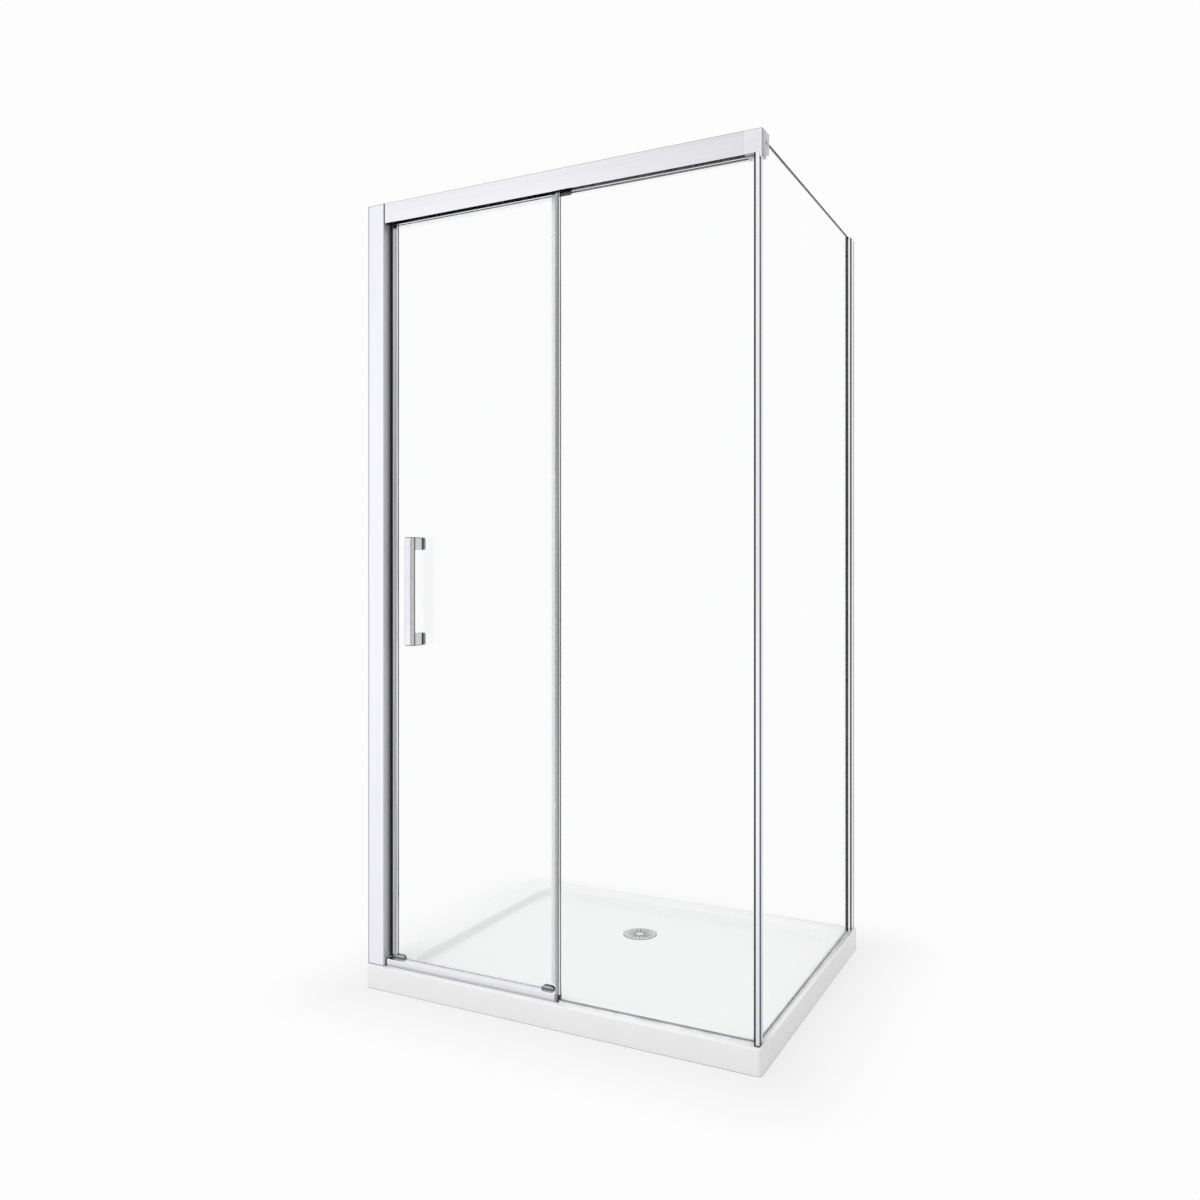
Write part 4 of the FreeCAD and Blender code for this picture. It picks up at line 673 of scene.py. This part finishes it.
def round_edges(piece, width, chosen, segments=3, least=CLEAR_ANGLE):
    """Round the edges whose middle passes a test and whose faces meet at a clear angle."""
    pick(piece)
    bpy.ops.object.mode_set(mode="EDIT")
    bpy.ops.mesh.select_all(action="DESELECT")
    bpy.ops.mesh.select_mode(type="EDGE")
    bpy.ops.mesh.edges_select_sharp(sharpness=math.radians(least))
    bpy.ops.object.mode_set(mode="OBJECT")
    points = piece.data.vertices
    for edge in piece.data.edges:
        if edge.select:
            middle = (points[edge.vertices[0]].co + points[edge.vertices[1]].co) / 2
            edge.select = bool(chosen(middle))
    bpy.ops.object.mode_set(mode="EDIT")
    bpy.ops.mesh.bevel(offset=width, segments=segments, affect="EDGES", clamp_overlap=True)
    bpy.ops.object.mode_set(mode="OBJECT")


def round_all(piece):
    """Round all square edges of a fitting."""
    round_edges(piece, look().metal.edge_rounding, lambda point: True, least=SQUARE_ANGLE)


def settle(piece, node, smooth=SMOOTH_ANGLE):
    """Smooth a finished piece, put it on its node's body and let it stand for the node."""
    pick(piece)
    bpy.ops.object.shade_smooth_by_angle(angle=math.radians(smooth))
    piece.select_set(False)
    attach(piece, NODE_BODY[node])
    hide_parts(node)


# ---------------------------------------------------------------- operators


class SHOWER_OT_tray(bpy.types.Operator):
    """Finish the white tray, with rounded rim and basin"""

    bl_idname = "shower.tray"
    bl_label = "Tray"

    def execute(self, context):
        tray = look().tray
        low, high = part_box("shower_tray")
        basin = high.z - BASIN_DEPTH
        piece = twin("shower_tray", "tray_shell", acrylic())

        def within(point, margin):
            across = low.x + margin < point.x < high.x - margin
            return across and low.y + margin < point.y < high.y - margin

        def outer(point):
            return point.z > high.z - RIM_DEPTH and not within(point, RIM_BAND)

        def wall(point):
            at_rim = point.z > high.z - RIM_NEAR
            at_floor = abs(point.z - basin) < BASIN_NEAR
            return within(point, BASIN_MARGIN) and (at_rim or at_floor)

        round_edges(piece, tray.basin_rounding, wall, segments=5)
        round_edges(piece, tray.rim_rounding * RIM_SHARE, outer)
        settle(piece, "shower_tray", TRAY_SMOOTH_ANGLE)
        return {"FINISHED"}


class SHOWER_OT_waste(bpy.types.Operator):
    """Finish the waste: flange, slotted strainer and back nut"""

    bl_idname = "shower.waste"
    bl_label = "Waste"

    def execute(self, context):
        rim = self.half_width("waste_flange")
        # Painted reflections across the flange's ring
        across = [("R", rim * RING_INNER, rim, RING_PAINTED_REFLECTIONS)]
        chrome = plated("waste_ring_chrome", look().metal.chrome, stripes=across)
        ring = twin("waste_flange", "waste_ring", chrome)
        round_edges(ring, RING_ROUNDING, lambda point: point.z > RING_TOP)
        settle(ring, "waste_flange")
        # Painted shade deep in the strainer's slots, and painted reflections across the strainer
        depth = [
            under_top("waste_cover", STRAINER_SHADE_DEPTH, STRAINER_PAINTED_SLOT_SHADE),
            ("R", 0.0, self.half_width("waste_cover"), STRAINER_PAINTED_REFLECTIONS),
        ]
        chrome = plated("strainer_chrome", STRAINER_TONE, 0.25, SATIN_STRAINER, depth)
        lid = twin("waste_cover", "strainer", chrome)
        round_edges(lid, STRAINER_ROUNDING, lambda point: point.z > STRAINER_TOP, segments=2)
        settle(lid, "waste_cover")
        dress(rubber("nut_nylon", look().seal.nylon), "waste_nut")
        return {"FINISHED"}

    @staticmethod
    def half_width(node):
        """Half of a node's reach along X, the radius of a round piece."""
        low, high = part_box(node)
        return (high.x - low.x) / 2


class SHOWER_OT_wall_post(bpy.types.Operator):
    """Finish the post at the left wall with its channel, cap, screws and closing seal"""

    bl_idname = "shower.wall_post"
    bl_label = "Wall post"

    def execute(self, context):
        # Painted reflections across and up the post, painted shade at its top and painted shadow
        # at its foot
        stripes = [
            over("wall_post_left", "X", POST_PAINTED_REFLECTIONS_ACROSS),
            under_top("wall_post_left", POST_END_SHADE_HEIGHT, POST_TOP_PAINTED_SHADE),
            above_foot("wall_post_left", POST_END_SHADE_HEIGHT, POST_FOOT_PAINTED_SHADOW),
            over("wall_post_left", "Z", POST_PAINTED_REFLECTIONS_UPWARDS),
        ]
        post = drawn_profile("post_aluminium", "Z", stripes, *POST_STREAKS, SOFT_POST, POST_MIRROR)
        dress(post, "wall_post_left")
        metals = look().metal
        mill = drawn_profile("mill_aluminium", "Z", None, tuple(metals.mill), grey(MILL_DARK))
        dress(mill, "wall_channel_left")
        dress(plated("cap_chrome", TOP_CAP_TONE), "post_top_cap")
        dress(plated("screw_steel", metals.steel, CLOUDY, BRUSHED), "frame_screws")
        dress(rubber("closing_rubber", look().seal.black), "strike_magnet_seal")
        return {"FINISHED"}


class SHOWER_OT_head_rail(bpy.types.Operator):
    """Finish the head rail and what it holds"""

    bl_idname = "shower.head_rail"
    bl_label = "Head rail"

    def execute(self, context):
        # Painted reflections up and along the rail
        stripes = [
            over("header_rail", "Z", RAIL_PAINTED_REFLECTIONS_UPWARDS),
            over("header_rail", "X", RAIL_PAINTED_REFLECTIONS_ALONG),
        ]
        dress(drawn_profile("rail_aluminium", "X", stripes, *RAIL_STREAKS), "header_rail")
        seals = look().seal
        black = rubber("black_plastic", seals.plastic, MOULDED)
        dress(black, "header_end_bracket", "glass_blocks", "glass_retainer")
        dress(rubber("stop_rubber", seals.black), "door_stops")
        dress(rubber("wedge_rubber", seals.wedge), "glazing_wedge")
        return {"FINISHED"}


class SHOWER_OT_corner_block(bpy.types.Operator):
    """Finish the block at the corner that holds rail, post and side pane"""

    bl_idname = "shower.corner_block"
    bl_label = "Corner block"

    def execute(self, context):
        # Painted reflections up and back over the block
        stripes = [
            over("corner_block", "Z", BLOCK_PAINTED_REFLECTIONS_UPWARDS),
            over("corner_block", "Y", BLOCK_PAINTED_REFLECTIONS_BACKWARDS),
        ]
        chrome = plated("block_chrome", BLOCK_TONE, spread=0.05, stripes=stripes)
        block = twin("corner_block", "block_shell", chrome)
        round_all(block)
        settle(block, "corner_block")
        steel = plated("set_screw_steel", look().metal.dark_chrome, CLOUDY, MATT_STEEL)
        dress(steel, "corner_block_screw")
        return {"FINISHED"}


class SHOWER_OT_fixed_pane(bpy.types.Operator):
    """Finish the fixed front pane with its edge profile and foot seal"""

    bl_idname = "shower.fixed_pane"
    bl_label = "Fixed pane"

    def execute(self, context):
        dress(clear_glass("fixed_pane_glass", "Y"), "fixed_glass")
        # Painted reflections across the edge profile
        stripes = [over("fixed_edge_profile", "X", EDGE_PROFILE_PAINTED_REFLECTIONS)]
        profile = drawn_profile("edge_profile_aluminium", "Z", stripes, EDGE_PROFILE_LIGHT)
        dress(profile, "fixed_edge_profile")
        dress(foot_rubber("foot_seal_rubber", "fixed_bottom_seal"), "fixed_bottom_seal")
        return {"FINISHED"}


class SHOWER_OT_corner_post(bpy.types.Operator):
    """Finish the slim post at the front corner with its beads"""

    bl_idname = "shower.corner_post"
    bl_label = "Corner post"

    def execute(self, context):
        # Painted reflections across the post, painted shadow at its foot and painted shade over
        # its lower part
        stripes = [
            over("corner_post", "X", CORNER_PAINTED_REFLECTIONS),
            above_foot("corner_post", CORNER_FOOT_SHADOW_HEIGHT, CORNER_FOOT_PAINTED_SHADOW),
            above_foot("corner_post", CORNER_LOWER_SHADE_HEIGHT, CORNER_LOWER_PAINTED_SHADE),
        ]
        dark = grey(CORNER_DARK)
        post = drawn_profile("corner_post_aluminium", "Z", stripes, CORNER_LIGHT, dark)
        dress(post, "corner_post")
        dress(rubber("bead_rubber", look().seal.black), "corner_glazing_bead", "corner_line_seal")
        return {"FINISHED"}


class SHOWER_OT_side_pane(bpy.types.Operator):
    """Finish the side pane with its wall post, channel, gaskets and cap"""

    bl_idname = "shower.side_pane"
    bl_label = "Side pane"

    def execute(self, context):
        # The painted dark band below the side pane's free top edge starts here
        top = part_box("side_glass")[1].z - SIDE_TOP_PAINTED_BAND
        dress(clear_glass("side_pane_glass", "X", top), "side_glass")
        dress(foot_rubber("side_foot_rubber", "side_bottom_seal"), "side_bottom_seal")
        # Painted reflections over the side post and its channel
        stripes = [
            over("side_wall_post", "Y", SIDE_POST_PAINTED_REFLECTIONS_BACKWARDS),
            over("side_wall_post", "X", SIDE_POST_PAINTED_REFLECTIONS_ACROSS),
        ]
        dress(drawn_profile("side_post_aluminium", "Z", stripes), "side_wall_post")
        stripes = [over("side_wall_channel", "Y", SIDE_CHANNEL_PAINTED_REFLECTIONS)]
        dress(drawn_profile("side_channel_aluminium", "Z", stripes), "side_wall_channel")
        dress(rubber("side_gasket_rubber", look().seal.black), "side_gaskets")
        dress(plated("side_cap_chrome", TOP_CAP_TONE), "side_top_cap")
        return {"FINISHED"}


class SHOWER_OT_threshold(bpy.types.Operator):
    """Finish the threshold rail with its end pieces and the door's floor guide"""

    bl_idname = "shower.threshold"
    bl_label = "Threshold"

    def execute(self, context):
        # Painted shadow at the rail's foot and painted reflections over it
        stripes = [
            over("threshold_rail", "Z", THRESHOLD_PAINTED_SHADOW_AND_REFLECTIONS),
            over("threshold_rail", "Y", THRESHOLD_PAINTED_REFLECTIONS_BACKWARDS),
        ]
        rail = drawn_profile("threshold_aluminium", "X", stripes, *THRESHOLD_STREAKS)
        dress(rail, "threshold_rail")
        black = rubber("end_block_plastic", look().seal.plastic, MOULDED)
        dress(black, "threshold_end_block")
        tone = look().metal.dark_chrome
        # Painted highlights and reflections across the end cap
        stripes = [over("threshold_end_cap", "X", END_CAP_PAINTED_REFLECTIONS)]
        dress(plated("cap_dark_chrome", tone, CLOUDY, stripes=stripes), "threshold_end_cap")
        # Painted highlights up the floor guide, darker at its foot
        stripes = [over("floor_guide", "Z", GUIDE_PAINTED_REFLECTIONS)]
        dress(plated("guide_dark_chrome", tone, CLOUDY, stripes=stripes), "floor_guide")
        return {"FINISHED"}


class SHOWER_OT_sliding_door(bpy.types.Operator):
    """Finish the sliding pane with its closing profile, seals and guide"""

    bl_idname = "shower.sliding_door"
    bl_label = "Sliding door"

    def execute(self, context):
        dress(clear_glass("door_pane_glass", "Y"), "door_glass")
        # Painted reflections across the closing profile
        stripes = [over("door_lead_profile", "X", LEAD_PROFILE_PAINTED_REFLECTIONS)]
        profile = drawn_profile("closing_profile_aluminium", "Z", stripes, *LEAD_STREAKS)
        dress(profile, "door_lead_profile")
        dress(rubber("magnet_seal_rubber", look().seal.black), "door_magnet_seal")
        dress(clear_seal("door_seal_clear"), "door_trailing_seal", "door_bottom_sweep")
        # Painted highlights up the corner guide, darker at its foot
        stripes = [over("door_corner_guide", "Z", GUIDE_PAINTED_REFLECTIONS)]
        tone = look().metal.dark_chrome
        guide = plated("door_guide_dark_chrome", tone, CLOUDY, stripes=stripes)
        dress(guide, "door_corner_guide")
        return {"FINISHED"}


class SHOWER_OT_rollers(bpy.types.Operator):
    """Finish the door's rollers, their axles and nuts"""

    bl_idname = "shower.rollers"
    bl_label = "Rollers"

    def execute(self, context):
        metals = look().metal
        nylon = rubber("roller_nylon", look().seal.nylon)
        dress(nylon, "roller_wheel_left", "roller_wheel_right")
        dress(plated("axle_steel", metals.steel, CLOUDY, BRUSHED), "roller_axles")
        dress(plated("axle_nut_chrome", metals.chrome), "roller_nuts")
        return {"FINISHED"}


class SHOWER_OT_handle(bpy.types.Operator):
    """Finish the pull handle and the caps behind the pane"""

    bl_idname = "shower.handle"
    bl_label = "Handle"

    def execute(self, context):
        # Painted reflections over the handle and its caps, darker at their ends
        painted_end_reflections = over("handle_bar", "Z", HANDLE_ENDS_PAINTED_REFLECTIONS)
        stripes = [
            painted_end_reflections,
            over("handle_bar", "X", HANDLE_PAINTED_REFLECTIONS_ACROSS),
            over("handle_bar", "Y", HANDLE_PAINTED_REFLECTIONS_BACKWARDS),
        ]
        chrome = plated("handle_chrome", HANDLE_TONE, spread=0.06, stripes=stripes)
        self.finish("handle_bar", "handle_shell", chrome)
        stripes = [painted_end_reflections, over("handle_caps", "Y", HANDLE_CAP_PAINTED_REFLECTIONS)]
        chrome = plated("handle_cap_chrome", HANDLE_CAP_TONE, stripes=stripes)
        self.finish("handle_caps", "handle_cap_shells", chrome)
        return {"FINISHED"}

    def finish(self, node, name, chrome):
        """Round a chromed piece and let it stand for its node."""
        piece = twin(node, name, chrome)
        round_all(piece)
        settle(piece, node)


class SHOWER_OT_stage(bpy.types.Operator):
    """Set up floor, light, background and camera"""

    bl_idname = "shower.stage"
    bl_label = "Stage"

    def execute(self, context):
        stage = look().stage
        self.lay_floor(stage)
        self.light_sky(stage)
        self.hang_lamp("key_lamp", KEY_PLACE, stage.key_power)
        self.hang_lamp("front_lamp", FRONT_PLACE, stage.fill_power)
        self.place_camera(stage)
        bpy.context.scene.view_settings.view_transform = "Standard"
        return {"FINISHED"}

    def lay_floor(self, stage):
        """A pale floor: shaded near the tray, partly by cast shadow and partly by painted shadow,
        and white to the camera further out.
        """
        deselect_all()
        bpy.ops.mesh.primitive_circle_add(
            vertices=FLOOR_CORNERS, radius=stage.floor_radius, fill_type="NGON"
        )
        floor = bpy.context.object
        floor.name = "studio_floor"
        paint = Paint("floor_paint")
        clouds = paint.grain(0.7, detail=2.0)
        low, high = FLOOR_TONES
        paint.set(Base_Color=paint.ramp(clouds, [(0.3, grey(low)), (0.7, grey(high))]))
        paint.set(Roughness=0.7)
        white = paint.add("ShaderNodeEmission")
        white.inputs["Color"].default_value = (*[stage.page_white] * 3, 1.0)
        rays = paint.add("ShaderNodeLightPath").outputs
        seen = paint.math("MAXIMUM", rays["Is Camera Ray"], rays["Is Glossy Ray"])
        seen = paint.math("MAXIMUM", seen, rays["Is Transmission Ray"])
        # Painted shadow: near the tray the camera sees more of the darker diffuse floor, fading to
        # white by shadow_reach
        away = self.distance(paint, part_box("shower_tray")[1])
        pale = paint.span(away, 0.0, stage.shadow_reach, stage.floor_white, 1.0)
        factor = paint.math("MULTIPLY", seen, pale)
        paint.end(paint.blend(factor, paint.shader.outputs[0], white.outputs[0]))
        floor.data.materials.append(paint.material)

    @staticmethod
    def distance(paint, corner):
        """Distance outside a rectangle round the origin, given by its far corner."""
        squares = []
        for axis, reach in (("X", corner.x), ("Y", corner.y)):
            past = paint.math("SUBTRACT", paint.math("ABSOLUTE", paint.measure(axis)), reach)
            squares.append(paint.math("POWER", paint.math("MAXIMUM", past, 0.0), 2.0))
        return paint.math("POWER", paint.math("ADD", *squares), 0.5)

    def light_sky(self, stage):
        """White to the camera and through glass, else soft light, weaker from the right."""
        world = bpy.data.worlds.new("studio_sky")
        bpy.context.scene.world = world
        world.use_nodes = True
        tree = world.node_tree
        back = tree.nodes["Background"]
        rays = tree.nodes.new("ShaderNodeLightPath").outputs
        way = tree.nodes.new("ShaderNodeTexCoord").outputs["Generated"]
        parts = tree.nodes.new("ShaderNodeSeparateXYZ")
        tree.links.new(way, parts.inputs[0])

        def along(axis, low, high, new_low, new_high):
            node = tree.nodes.new("ShaderNodeMapRange")
            settings = {
                "From Min": low,
                "From Max": high,
                "To Min": new_low,
                "To Max": new_high,
            }
            for name, number in settings.items():
                node.inputs[name].default_value = number
            tree.links.new(parts.outputs[axis], node.inputs["Value"])
            return node.outputs["Result"]

        def blend(factor, first, second):
            node = tree.nodes.new("ShaderNodeMix")
            for number, value in ((0, factor), (2, first), (3, second)):
                if isinstance(value, bpy.types.NodeSocket):
                    tree.links.new(value, node.inputs[number])
                else:
                    node.inputs[number].default_value = value
            return node.outputs[0]

        soft = tree.nodes.new("ShaderNodeMath")
        soft.operation = "MULTIPLY"
        tree.links.new(along("Z", 0.0, 1.0, stage.sky, stage.overhead), soft.inputs[0])
        tree.links.new(along("X", 0.0, 1.0, 1.0, stage.right_side), soft.inputs[1])
        mirrored = along("Y", *HORIZON_FRONT, HORIZON_FRONT_WHITE, 1.0)
        level = blend(rays["Is Glossy Ray"], soft.outputs[0], mirrored)
        level = blend(rays["Is Transmission Ray"], level, stage.page_white)
        level = blend(rays["Is Camera Ray"], level, stage.page_white)
        tree.links.new(level, back.inputs["Strength"])
        back.inputs["Color"].default_value = WHITE

    def hang_lamp(self, name, place, watts):
        """A square lamp that lights the part but isn't mirrored in it or seen through it."""
        deselect_all()
        bpy.ops.object.light_add(type="AREA", location=place)
        lamp = bpy.context.object
        lamp.name = name
        lamp.data.size = LAMP_SIZE
        lamp.data.energy = watts
        aim = Vector(LAMP_TARGET) - Vector(place)
        lamp.rotation_euler = aim.to_track_quat("-Z", "Y").to_euler()
        lamp.visible_glossy = False
        lamp.visible_transmission = False
        lamp.visible_camera = False

    def place_camera(self, stage):
        data = bpy.data.cameras.new("camera")
        camera = bpy.data.objects.new("camera", data)
        bpy.context.scene.collection.objects.link(camera)
        camera.location = CAMERA_PLACE
        camera.rotation_euler = CAMERA_TURN
        data.lens = stage.lens
        data.sensor_width = SENSOR_WIDTH
        data.shift_x, data.shift_y = CAMERA_SHIFT
        data.clip_end = CLIP_END
        bpy.context.scene.camera = camera


OPERATORS = (
    SHOWER_OT_stage,
    SHOWER_OT_tray,
    SHOWER_OT_waste,
    SHOWER_OT_wall_post,
    SHOWER_OT_head_rail,
    SHOWER_OT_corner_block,
    SHOWER_OT_fixed_pane,
    SHOWER_OT_corner_post,
    SHOWER_OT_side_pane,
    SHOWER_OT_threshold,
    SHOWER_OT_sliding_door,
    SHOWER_OT_rollers,
    SHOWER_OT_handle,
)


class SHOWER_PT_enclosure(bpy.types.Panel):
    """The enclosure's pieces, in the order in which they are made"""

    bl_idname = "SHOWER_PT_enclosure"
    bl_label = "Shower enclosure"
    bl_space_type = "VIEW_3D"
    bl_region_type = "UI"
    bl_category = "Shower"

    def draw(self, context):
        for step in OPERATORS:
            self.layout.operator(step.bl_idname)
        for name in ("tray", "metal", "glass", "seal", "stage"):
            group = getattr(look(), name)
            box = self.layout.box()
            box.label(text=name.capitalize())
            for field in group.__annotations__:
                box.prop(group, field)


GROUPS = (TrayLook, MetalLook, GlassLook, SealLook, StageLook, ShowerLook)
CLASSES = (*GROUPS, *OPERATORS, SHOWER_PT_enclosure)


def register():
    for item in CLASSES:
        bpy.utils.register_class(item)
    bpy.types.Scene.shower_look = PointerProperty(
        type=ShowerLook, name="Shower", description="Shower enclosure"
    )


def unregister():
    del bpy.types.Scene.shower_look
    for item in reversed(CLASSES):
        bpy.utils.unregister_class(item)


def main():
    register()
    for step in OPERATORS:
        group, name = step.bl_idname.split(".")
        getattr(getattr(bpy.ops, group), name)()
    deselect_all()


if __name__ == "__main__":
    main()
